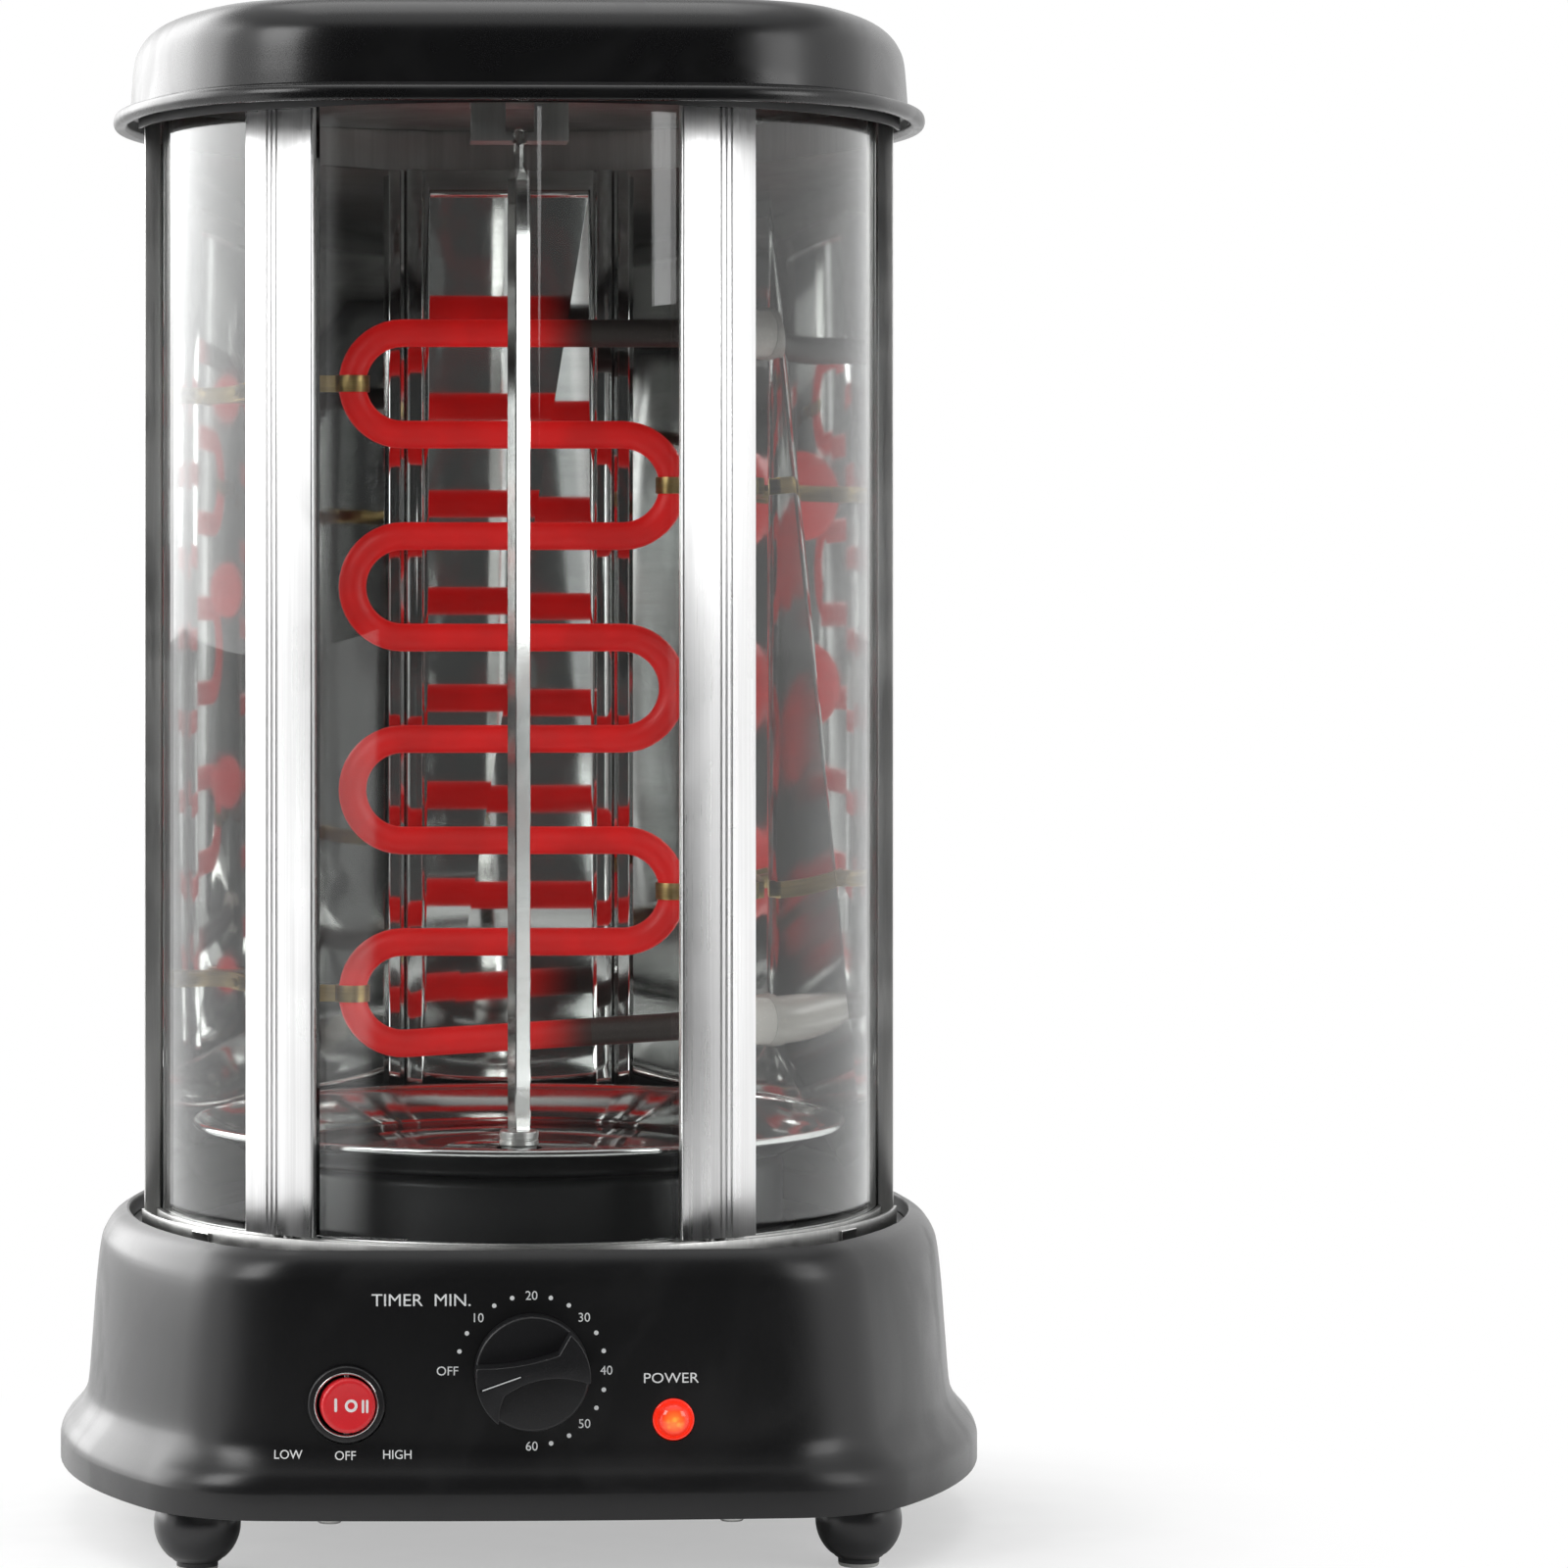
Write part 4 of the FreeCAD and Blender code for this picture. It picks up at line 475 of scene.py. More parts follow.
class Graph:
    """Adds nodes to a shader tree and links them."""

    def __init__(self, tree: bpy.types.NodeTree) -> None:
        """Works on one tree.

        Args:
            tree: The node tree.
        """
        self.tree = tree

    def add(self, kind: str, inputs: dict | None = None, **settings: object) -> bpy.types.Node:
        """Adds a node.

        Args:
            kind: Its type.
            inputs: Values or sockets for its inputs, by name or number.
            **settings: Its properties.

        Returns:
            The node.
        """
        new = self.tree.nodes.new(kind)
        for key, value in settings.items():
            setattr(new, key, value)
        for key, value in (inputs or {}).items():
            if isinstance(value, Socket):
                self.tree.links.new(value, new.inputs[key])
            else:
                new.inputs[key].default_value = value
        return new

    def group(self, tree: bpy.types.NodeTree, inputs: dict) -> Sockets:
        """Places a shader group with its inputs, and gives its outputs."""
        return self.add("ShaderNodeGroup", inputs, node_tree=tree).outputs

    def sum(self, operation: str, *values: float | Socket) -> Socket:
        """Works out one number from others.

        Args:
            operation: Name of the sum.
            *values: Numbers or sockets.

        Returns:
            The result's socket.
        """
        inputs = dict(enumerate(values))
        return self.add("ShaderNodeMath", inputs, operation=operation).outputs[0]

    def spread(self, value: Socket, start: float, end: float, low: float = 0.0, high: float = 1.0) -> Socket:
        """Maps a range to another with soft ends.

        Args:
            value: What is mapped.
            start: Value that gives low.
            end: Value that gives high.
            low: First result.
            high: Last result.

        Returns:
            The result's socket.
        """
        inputs = {"Value": value, "From Min": start, "From Max": end, "To Min": low, "To Max": high}
        return self.add("ShaderNodeMapRange", inputs, interpolation_type="SMOOTHSTEP").outputs[0]

    def blend(self, share: float | Socket, first: Colour | Socket, second: Colour | Socket) -> Socket:
        """Blends two colours.

        Args:
            share: How much of the second.
            first: A colour.
            second: Another.

        Returns:
            The blended colour's socket.
        """
        inputs = {0: share, 6: opaque(first), 7: opaque(second)}
        return self.add("ShaderNodeMix", inputs, data_type="RGBA").outputs[2]

    def noise(self, place: Socket, scale: float, detail: float = 3.0, rough: float = 0.5) -> Socket:
        """Reads soft noise.

        Args:
            place: Where to read it.
            scale: Waves per metre.
            detail: Octaves.
            rough: How strong the fine ones are.

        Returns:
            The noise's value.
        """
        inputs = {"Vector": place, "Scale": scale, "Detail": detail, "Roughness": rough}
        return self.add("ShaderNodeTexNoise", inputs).outputs[0]

    def own_place(self) -> Socket:
        """Gives the piece's own coordinates, in metres."""
        return self.add("ShaderNodeTexCoord").outputs["Object"]


def opaque(colour: Colour | Socket) -> tuple[float, ...] | Socket:
    """Adds full alpha to a plain colour, and leaves a socket as it is."""
    return colour if isinstance(colour, Socket) else (*colour, 1.0)


VALUE = "NodeSocketFloat"
VECTOR = "NodeSocketVector"


def opened_group(name: str, inputs: dict[str, str], outputs: dict[str, str]) -> tuple[Graph, Sockets]:
    """Starts an empty shader group.

    Args:
        name: The group's name.
        inputs: Socket type of each input.
        outputs: Socket type of each output.

    Returns:
        The group's graph, and the sockets that bring its inputs.
    """
    tree = bpy.data.node_groups.new(name, "ShaderNodeTree")
    for direction, sockets in (("INPUT", inputs), ("OUTPUT", outputs)):
        for label, kind in sockets.items():
            tree.interface.new_socket(label, in_out=direction, socket_type=kind)
    graph = Graph(tree)
    return graph, graph.add("NodeGroupInput").outputs


@cache
def fleck_group() -> bpy.types.NodeTree:
    """Makes the fine flecks and orange peel of a sprayed or moulded skin.

    Returns:
        The group's tree.
    """
    outputs = {"Mask": VALUE, "Height": VALUE}
    graph, given = opened_group("sprayed_fleck", {"Place": VECTOR, "Scale": VALUE}, outputs)
    cells = graph.add("ShaderNodeTexVoronoi", {"Vector": given["Place"], "Scale": given["Scale"]})
    grains = graph.spread(cells.outputs["Distance"], 0.10, 0.42, 1.0, 0.0)
    coarse = graph.sum("MULTIPLY", given["Scale"], 0.12)
    peel = graph.add("ShaderNodeTexNoise", {"Vector": given["Place"], "Scale": coarse, "Detail": 2.0})
    height = graph.sum("ADD", graph.sum("MULTIPLY", grains, 0.6), peel.outputs[0])
    graph.add("NodeGroupOutput", {"Mask": grains, "Height": height})
    return graph.tree


@cache
def streak_group() -> bpy.types.NodeTree:
    """Makes the long fine streaks of brushed or drawn metal.

    Returns:
        The group's tree.
    """
    outputs = {"Streak": VALUE, "Height": VALUE}
    graph, given = opened_group("drawn_streaks", {"Place": VECTOR, "Stretch": VECTOR}, outputs)
    pulled = graph.add("ShaderNodeVectorMath", {0: given["Place"], 1: given["Stretch"]}, operation="MULTIPLY")
    fine = graph.noise(pulled.outputs[0], 1.0, 4.0, 0.65)
    broad = graph.noise(pulled.outputs[0], 0.22, 2.0)
    streak = graph.spread(graph.sum("ADD", fine, broad), 0.75, 1.25)
    graph.add("NodeGroupOutput", {"Streak": streak, "Height": fine})
    return graph.tree


@cache
def smear_group() -> bpy.types.NodeTree:
    """Makes the broad soft patches of wiping and handling.

    Returns:
        The group's tree.
    """
    graph, given = opened_group("wiped_smears", {"Place": VECTOR, "Scale": VALUE}, {"Mask": VALUE})
    inputs = {"Vector": given["Place"], "Scale": given["Scale"], "Detail": 5.0, "Distortion": 1.6}
    patches = graph.add("ShaderNodeTexNoise", inputs)
    graph.add("NodeGroupOutput", {"Mask": graph.spread(patches.outputs[0], 0.42, 0.68)})
    return graph.tree


# Finishes


@dataclass(frozen=True)
class Finish:
    """A surface finish with its colour and how rough it is."""

    name: str
    colour: Colour
    roughness: float

    def material(self) -> bpy.types.Material:
        """Gives the finish's material, made the first time it is asked for.

        Returns:
            The material.
        """
        label = f"finish_{self.name}"
        found = bpy.data.materials.get(label)
        if found:
            return found
        material = bpy.data.materials.new(label)
        material.use_nodes = True
        material.node_tree.nodes.clear()
        graph = Graph(material.node_tree)
        shader = graph.add("ShaderNodeBsdfPrincipled", self.dress(graph))
        graph.add("ShaderNodeOutputMaterial", {"Surface": shader.outputs[0]})
        return material

    def dress(self, graph: Graph) -> dict:
        """Gives the inputs of the Principled shader, as values or sockets by name."""
        raise NotImplementedError


def bump(graph: Graph, height: Socket, depth: float, strength: float = 1.0) -> Socket:
    """Turns a height into a normal.

    Args:
        graph: The material's graph.
        height: The height's socket.
        depth: Depth in millimetres.
        strength: How strongly it shows.

    Returns:
        The normal's socket.
    """
    inputs = {"Height": height, "Distance": depth * MM, "Strength": strength}
    return graph.add("ShaderNodeBump", inputs).outputs[0]


@dataclass(frozen=True)
class Skin(Finish):
    """Sprayed enamel, moulded plastic, rubber or ceramic: a flecked or grained skin."""

    grain: float = 1600.0
    depth: float = 0.02
    fleck: float = 1.5
    smear: float = 0.08
    coat: float = 0.0
    coat_roughness: float = 0.2
    patches: float = 14.0
    fleck_share: float = 0.6
    fleck_roughness: float = 0.05
    relief: float = 0.6

    def dress(self, graph: Graph) -> dict:
        """Adds flecks to the colour, and flecks and smears to the gloss.

        Args:
            graph: The material's graph.

        Returns:
            The shader's inputs.
        """
        place = graph.own_place()
        flecks = graph.group(fleck_group(), {"Place": place, "Scale": self.grain})
        smears = graph.group(smear_group(), {"Place": place, "Scale": self.patches})
        light = tuple(min(1.0, value * self.fleck) for value in self.colour)
        colour = graph.blend(graph.sum("MULTIPLY", flecks["Mask"], self.fleck_share), self.colour, light)
        rough = graph.spread(smears["Mask"], 0.0, 1.0, self.roughness, self.roughness + self.smear)
        return {
            "Base Color": colour,
            "Roughness": graph.sum("MULTIPLY_ADD", flecks["Mask"], self.fleck_roughness, rough),
            "Coat Weight": self.coat,
            "Coat Roughness": self.coat_roughness,
            "Normal": bump(graph, flecks["Height"], self.depth, self.relief),
        }


@dataclass(frozen=True)
class Metal(Finish):
    """Bare metal with drawn streaks, faint waves and wiped smears."""

    stretch: Point = (40.0, 40.0, 900.0)
    depth: float = 0.004
    contrast: float = 0.12
    smear: float = 0.08
    wave: float = 0.0
    patches: float = 18.0
    dull: float = 1.25
    waves_per_metre: float = 16.0

    def dress(self, graph: Graph) -> dict:
        """Adds streaks to the colour and gloss, and waves to the surface.

        Args:
            graph: The material's graph.

        Returns:
            The shader's inputs.
        """
        place = graph.own_place()
        streaks = graph.group(streak_group(), {"Place": place, "Stretch": self.stretch})
        smears = graph.group(smear_group(), {"Place": place, "Scale": self.patches})
        dark = tuple(value * (1 - self.contrast) for value in self.colour)
        colour = graph.blend(streaks["Streak"], dark, self.colour)
        rough = graph.spread(streaks["Streak"], 0.0, 1.0, self.roughness * self.dull, self.roughness)
        rough = graph.sum("MULTIPLY_ADD", smears["Mask"], self.smear, rough)
        height = graph.sum("MULTIPLY", streaks["Height"], self.depth)
        if self.wave:
            waves = graph.noise(place, self.waves_per_metre, 1.0)
            height = graph.sum("MULTIPLY_ADD", waves, self.wave, height)
        normal = bump(graph, height, 1.0)
        return {"Base Color": colour, "Metallic": 1.0, "Roughness": rough, "Normal": normal}


@dataclass(frozen=True)
class Pane(Finish):
    """Clear glass with the faintest wiping marks."""

    refraction: float = 1.45
    patches: float = 22.0
    smear: float = 0.03

    def dress(self, graph: Graph) -> dict:
        """Adds wiping marks to the gloss.

        Args:
            graph: The material's graph.

        Returns:
            The shader's inputs.
        """
        smears = graph.group(smear_group(), {"Place": graph.own_place(), "Scale": self.patches})
        return {
            "Base Color": opaque(self.colour),
            "Metallic": 0.0,
            "Roughness": graph.spread(smears["Mask"], 0.0, 1.0, self.roughness, self.roughness + self.smear),
            "IOR": self.refraction,
            "Transmission Weight": 1.0,
        }


@dataclass(frozen=True)
class HotSheath(Finish):
    """Element tube that glows, and cools towards its two unheated ends."""

    glow: Colour = (0.36, 0.003, 0.003)
    cool: Colour = (0.05, 0.02, 0.016)
    cool_x: float = 26.0
    hot_x: float = 2.0
    top_run: float = 362.0
    bottom_run: float = 160.0
    grain: float = 900.0
    depth: float = 0.03
    patches: float = 45.0

    def dress(self, graph: Graph) -> dict:
        """Works out the heat from the place along the tube.

        Args:
            graph: The material's graph.

        Returns:
            The shader's inputs.
        """
        place = graph.own_place()
        flecks = graph.group(fleck_group(), {"Place": place, "Scale": self.grain})
        axes = graph.add("ShaderNodeSeparateXYZ", {0: place}).outputs
        above = graph.sum("GREATER_THAN", axes[2], self.top_run * MM)
        below = graph.sum("LESS_THAN", axes[2], self.bottom_run * MM)
        ends = graph.sum("ADD", above, below)
        chill = graph.sum("MULTIPLY", ends, graph.spread(axes[0], self.hot_x * MM, self.cool_x * MM))
        heat = graph.sum("SUBTRACT", 1.0, chill)
        patches = graph.spread(graph.noise(place, self.patches), 0.3, 0.75, 0.72, 1.0)
        heat = graph.sum("MULTIPLY", heat, patches)
        return {
            "Base Color": graph.blend(heat, self.cool, self.colour),
            "Roughness": graph.spread(flecks["Mask"], 0.0, 1.0, self.roughness, self.roughness + 0.1),
            "Emission Color": graph.blend(heat, (0.0, 0.0, 0.0), self.glow),
            "Emission Strength": 1.0,
            "Normal": bump(graph, flecks["Height"], self.depth),
        }


@dataclass(frozen=True)
class LitLens(Finish):
    """Red lens with a lamp alight behind it, hottest in the middle."""

    centre: Point = (42.2, -121.5, 48.5)
    radius: float = 5.2
    middle: Colour = (1.0, 0.50, 0.06)
    edge: Colour = (0.55, 0.02, 0.005)
    lit: Colour = (0.8, 0.06, 0.02)
    prisms: float = 520.0
    core: Flat = (0.15, 0.85)

    def dress(self, graph: Graph) -> dict:
        """Lights the lens from its middle, broken up by its prisms.

        Args:
            graph: The material's graph.

        Returns:
            The shader's inputs.
        """
        place = graph.own_place()
        middle = tuple(value * MM for value in self.centre)
        away = graph.add("ShaderNodeVectorMath", {0: place, 1: middle}, operation="DISTANCE").outputs["Value"]
        prisms = graph.add("ShaderNodeTexVoronoi", {"Vector": place, "Scale": self.prisms})
        sparkle = graph.spread(prisms.outputs["Distance"], 0.15, 0.55, 1.0, 0.0)
        core = graph.spread(away, *(self.radius * share * MM for share in self.core), 1.0, 0.0)
        bright = graph.sum("MULTIPLY", core, graph.sum("MULTIPLY_ADD", sparkle, 0.5, 0.5))
        return {
            "Base Color": graph.blend(core, self.colour, self.lit),
            "Roughness": self.roughness,
            "Coat Weight": 0.3,
            "Coat Roughness": 0.1,
            "Emission Color": graph.blend(bright, self.edge, self.middle),
            "Emission Strength": 1.0,
            "Normal": bump(graph, sparkle, 0.06, 0.4),
        }


# White of the printed marks; the same white also paints the highlight strip in the knob's pointer slot.
WHITE_PRINT_AND_HIGHLIGHT = Skin("white_print_and_highlight", (0.80, 0.82, 0.82), 0.5, grain=2600.0, depth=0.01, fleck=1.08)
BUTTON_INK = Skin("button_ink", (0.86, 0.84, 0.83), 0.45, grain=2600.0, depth=0.01, fleck=1.06)

FINISHES: dict[Slot, Finish] = {
    Slot.BLACK_ENAMEL: Skin(
        "base_enamel", (0.005, 0.005, 0.0055), 0.31, grain=1500.0, depth=0.016, coat=0.06
    ),
    Slot.LID_ENAMEL: Skin("lid_enamel", (0.004, 0.004, 0.0045), 0.27, grain=1700.0, depth=0.012, coat=0.10),
    Slot.POLISHED_STEEL: Metal(
        "polished_steel", (0.78, 0.78, 0.77), 0.08, depth=0.001, contrast=0.05, smear=0.05, wave=0.03
    ),
    Slot.BRUSHED_STEEL: Metal("brushed_steel", (0.58, 0.58, 0.57), 0.30, stretch=(900.0, 900.0, 26.0)),
    Slot.REFLECTOR_STEEL: Metal(
        "reflector_steel", (0.72, 0.72, 0.71), 0.045, depth=0.0005, contrast=0.06, smear=0.03, wave=0.06
    ),
    Slot.ZINC_STEEL: Metal("zinc_steel", (0.56, 0.56, 0.55), 0.28, contrast=0.2, smear=0.14),
    Slot.CLEAR_GLASS: Pane("clear_glass", (0.97, 0.99, 0.985), 0.0),
    Slot.BAR_ALUMINIUM: Metal("bar_aluminium", (0.90, 0.90, 0.90), 0.26, stretch=(1400.0, 1400.0, 9.0)),
    Slot.ELEMENT_SHEATH: HotSheath("element_sheath", (0.40, 0.010, 0.010), 0.46),
    Slot.COLD_SHEATH: Skin("cold_sheath", (0.045, 0.036, 0.032), 0.42, grain=900.0, depth=0.03),
    Slot.BRASS: Metal("brass", (0.46, 0.33, 0.14), 0.28, contrast=0.25, smear=0.16),
    Slot.CERAMIC: Skin("ceramic", (0.80, 0.78, 0.73), 0.22, grain=700.0, fleck=1.05, coat=0.4),
    Slot.PAD_RUBBER: Skin("pad_rubber", (0.50, 0.50, 0.48), 0.72, grain=1200.0, depth=0.05, fleck=1.1),
    Slot.FOOT_PLASTIC: Skin("foot_plastic", (0.007, 0.007, 0.008), 0.28, grain=1300.0, depth=0.02, coat=0.2),
    Slot.KNOB_PLASTIC: Skin("knob_plastic", (0.007, 0.007, 0.008), 0.36, grain=2200.0, depth=0.05, fleck=2.2),
    Slot.SWITCH_RED: Skin(
        "switch_red", (0.74, 0.020, 0.028), 0.34, grain=1500.0, depth=0.02, fleck=1.12, coat=0.25
    ),
    Slot.SWITCH_PLASTIC: Skin("switch_plastic", (0.008, 0.008, 0.009), 0.32, grain=1900.0, depth=0.04),
    Slot.LAMP_RED: LitLens("lamp_red", (0.60, 0.015, 0.010), 0.12),
    Slot.SEAT_ENAMEL: Skin("seat_enamel", (0.006, 0.006, 0.0065), 0.40, grain=1200.0, depth=0.03),
    Slot.PLATED_STEEL: Metal("plated_steel", (0.44, 0.44, 0.43), 0.36, contrast=0.3, smear=0.2),
    Slot.MOTOR_STEEL: Metal("motor_steel", (0.50, 0.49, 0.45), 0.38, contrast=0.2, smear=0.15),
    Slot.INNER_PLASTIC: Skin("inner_plastic", (0.62, 0.60, 0.55), 0.5, grain=1100.0, depth=0.03, fleck=1.08),
}


# Plans and drum


@dataclass(frozen=True)
class BowedPlan:
    """A rounded rectangle whose four sides bow outwards, made of eight tangent arcs."""

    half_width: float
    front: float
    rear: float
    corner: float
    front_share: float = 1.0
    rear_share: float = 1.0
    corner_share: float = 1.0
    bow_front: float = 1500.0
    bow_side: float = 200.0
    steps: int = 14

    def ring(self, inset: float, z: float) -> list[Point]:
        """Gives the outline at one inset and height.

        Args:
            inset: How far it lies inside the widest outline.
            z: Its height.

        Returns:
            Points once round, the same number at every inset.
        """
        half = self.half_width - inset
        front = self.front - self.front_share * inset
        rear = self.rear - self.rear_share * inset
        corner = self.corner - self.corner_share * inset
        bow_front = self.bow_front - inset
        bow_side = self.bow_side - inset
        middle = (rear - front) / 2
        front_centre = Vector((0.0, bow_front - front))
        side_centre = Vector((half - bow_side, middle))
        between = side_centre - front_centre
        reach = bow_front - corner
        along = (reach**2 - (bow_side - corner) ** 2 + between.length_squared) / (2 * between.length)
        across = math.sqrt(reach**2 - along**2)
        unit = between.normalized()
        normal = Vector((unit.y, -unit.x))
        options = [front_centre + unit * along + normal * across * sign for sign in (1, -1)]
        centre = max(options, key=lambda point: point.x)
        turn = math.degrees(math.atan2((centre - front_centre).y, (centre - front_centre).x))
        side_turn = math.degrees(math.atan2((centre - side_centre).y, (centre - side_centre).x))
        quarter = arc(tuple(front_centre), bow_front, -90, turn, self.steps)
        quarter += arc(tuple(centre), corner, turn, side_turn, self.steps)[1:]
        quarter += arc(tuple(side_centre), bow_side, side_turn, 0, self.steps)[1:]
        back = [(x, 2 * middle - y) for x, y in reversed(quarter)][1:]
        right = quarter + back
        left = [(-x, y) for x, y in reversed(right)][1:-1]
        return [(x, y, z) for x, y in right + left]

    def rings(self, profile: Iterable[Flat]) -> list[list[Point]]:
        """Gives an outline for each inset and height of a profile."""
        return [self.ring(inset, z) for inset, z in profile]


def drum_point(radius: float, angle: float, z: float, axis_y: float = 9.0) -> Point:
    """Gives a point round the drum.

    Args:
        radius: Distance from the drum's axis.
        angle: Degrees from the front, positive towards the right.
        z: Its height.
        axis_y: Where the drum's axis stands.

    Returns:
        The point.
    """
    a = math.radians(angle)
    return (radius * math.sin(a), axis_y - radius * math.cos(a), z)


def chamfered(r: Flat, z: Flat, cut: float) -> list[Flat]:
    """Gives the corners of a rectangle with its corners cut.

    Args:
        r: Its radial range.
        z: Its range of heights.
        cut: Size of each cut.

    Returns:
        Eight corners as radius and height.
    """
    (r0, r1), (z0, z1) = r, z
    return [
        (r0 + cut, z0),
        (r1 - cut, z0),
        (r1, z0 + cut),
        (r1, z1 - cut),
        (r1 - cut, z1),
        (r0 + cut, z1),
        (r0, z1 - cut),
        (r0, z0 + cut),
    ]


def drum_sheet(r: Flat, angles: Flat, z: Flat, cut: float, step: float = 1.5) -> Form:
    """Makes a curved sheet round the drum, with every edge cut back a little.

    Args:
        r: Its radial range.
        angles: First and last angle in degrees.
        z: Its range of heights.
        cut: Size of the edge cuts.
        step: Degrees between sections.

    Returns:
        The form.
    """
    start, end = angles
    margin = math.degrees(cut / r[1])
    count = max(2, round((end - start) / step))
    shrunk = chamfered((r[0] + cut, r[1] - cut), (z[0] + cut, z[1] - cut), cut / 10)
    full = chamfered(r, z, cut)
    rings = [[drum_point(radius, start, height) for radius, height in shrunk]]
    for index in range(count + 1):
        angle = start + margin + (end - start - 2 * margin) * index / count
        rings.append([drum_point(radius, angle, height) for radius, height in full])
    rings.append([drum_point(radius, end, height) for radius, height in shrunk])
    return Form().loft(rings)


# Base


@dataclass
class Base:
    """The moulded base with its feet, deck and screws."""

    plan: BowedPlan = BowedPlan(146.0, 125.0, 136.0, 45.0, 0.52, 0.60, 0.4)
    skirt_bottom: float = 19.5
    skirt_top: float = 27.5
    deck_bottom: float = 91.9
    rim_inset: float = 22.0
    ledge_inset: float = 26.0
    lip_round: float = 0.5
    profile: tuple[Flat, ...] = (
        (0.0, 0.0),
        (0.6, 2.2),
        (2.2, 4.9),
        (5.0, 8.0),
        (7.6, 11.8),
        (9.0, 17.0),
        (10.2, 32.0),
        (11.4, 48.0),
        (12.8, 60.0),
        (14.4, 64.6),
        (17.2, 68.4),
        (21.0, 70.8),
    )
    inner_wall: tuple[Flat, ...] = (
        (19.5, 89.5),
        (19.5, 95.2),
        (17.4, 93.6),
        (15.6, 88.0),
        (14.0, 76.0),
        (12.7, 60.0),
        (10.0, 41.0),
        (4.8, 34.0),
        (2.5, 27.0),
        (2.5, 19.5),
    )
    foot_radius: float = 13.1
    foot_height: float = 13.9
    foot_x: float = 99.9
    foot_y: Flat = (-93.0, 98.0)
    foot_mouth: float = 1.2
    pad_radius: float = 6.2
    pad_height: float = 2.6
    pad_seat: float = 2.7
    screw_radius: float = 2.1
    head_radius: float = 3.9
    head_top: float = 5.3

    def outside(self) -> list[Flat]:
        """Gives the smooth outer profile as inset and height above the floor."""
        return [(inset, self.skirt_top + height) for inset, height in smoothed(self.profile, 4)]

    def inset_at(self, z: float) -> float:
        """Finds how far the outer face lies inside the lip at a height.

        Args:
            z: The height.

        Returns:
            The inset.
        """
        row = self.outside()
        for (low_inset, low), (high_inset, high) in zip(row, row[1:]):
            if low <= z <= high:
                return low_inset + (high_inset - low_inset) * (z - low) / (high - low)
        return 0.0

    def front_y(self, x: float, z: float) -> float:
        """Finds the front face.

        Args:
            x: Place along the width.
            z: Height.

        Returns:
            The y of the outer face there.
        """
        inset = self.inset_at(z)
        bow = self.plan.bow_front - inset
        return bow - math.sqrt(bow**2 - x**2) - (self.plan.front - self.plan.front_share * inset)

    def shell(self) -> Thing:
        """Makes the moulded cover, from its skirt over the shoulder and down to its inner ledge.

        Returns:
            The cover, before the controls' seats are cut.
        """
        skirt = [
            (self.lip_round, self.skirt_bottom),
            (self.lip_round * 0.3, self.skirt_bottom + self.lip_round * 0.3),
            (0.0, self.skirt_bottom + self.lip_round),
            (0.0, self.skirt_top - self.lip_round),
        ]
        rim_top = self.skirt_top + self.profile[-1][1]
        rim = [
            (self.rim_inset - 0.3, rim_top - 0.2),
            (self.rim_inset, rim_top - 0.9),
            (self.rim_inset, self.deck_bottom),
            (self.ledge_inset, self.deck_bottom),
            (self.ledge_inset, self.deck_bottom - 2.4),
        ]
        rings = self.plan.rings(skirt + self.outside() + rim + list(self.inner_wall))
        return made(Form().loft(rings, looped=True), "base_cover")

    def build(self, cutters: Iterable[Form]) -> None:
        """Makes every piece of the base.

        Args:
            cutters: Shapes that cut the seats and holes of the controls.
        """
        shell = self.shell()
        for form in cutters:
            carved(shell, made(form, "control_cutter"))
        placed(shell, Body.GRILL, Slot.BLACK_ENAMEL, "base_shell", angle=28.0)
        self.feet()
        bench_piece("deck_plate", Slot.BLACK_ENAMEL, 0.2)
        bench_piece("bottom_plate", Slot.PLATED_STEEL, 0.2)
        bench_piece("bottom_screws", Slot.ZINC_STEEL, 0.15)

    def feet(self) -> None:
        """Makes the four ball feet and their pads."""
        balls, pads = Form(), Form()
        reach = math.degrees(math.asin((self.skirt_bottom - self.foot_height) / self.foot_radius))
        low = math.degrees(math.asin((self.foot_mouth - self.foot_height) / self.foot_radius))
        side = [(r, self.foot_height + h) for r, h in arc((0.0, 0.0), self.foot_radius, low, reach, 26)]
        seam = 6
        side[seam] = (side[seam][0] - 0.25, side[seam][1])
        ball = [(self.pad_radius + 0.05, self.foot_mouth), *side, (self.screw_radius, self.skirt_bottom)]
        ball += [(self.screw_radius, self.head_top), (self.head_radius, self.head_top)]
        ball += [(self.head_radius, self.pad_seat), (self.pad_radius + 0.05, self.pad_seat)]
        rounding = arc((self.pad_radius - 0.7, 0.7), 0.7, -90, 0, 4)
        pad = [(0.0, 0.0), *rounding, (self.pad_radius, self.pad_height), (0.0, self.pad_height)]
        for x in (-self.foot_x, self.foot_x):
            for y in self.foot_y:
                balls.join(spun(ball, (x, y), steps=64))
                pads.join(spun(pad, (x, y), steps=48))
        placed(made(balls, "ball_feet"), Body.GRILL, Slot.FOOT_PLASTIC, "feet")
        placed(made(pads, "foot_pads.rounded"), Body.GRILL, Slot.PAD_RUBBER, "foot_pads")


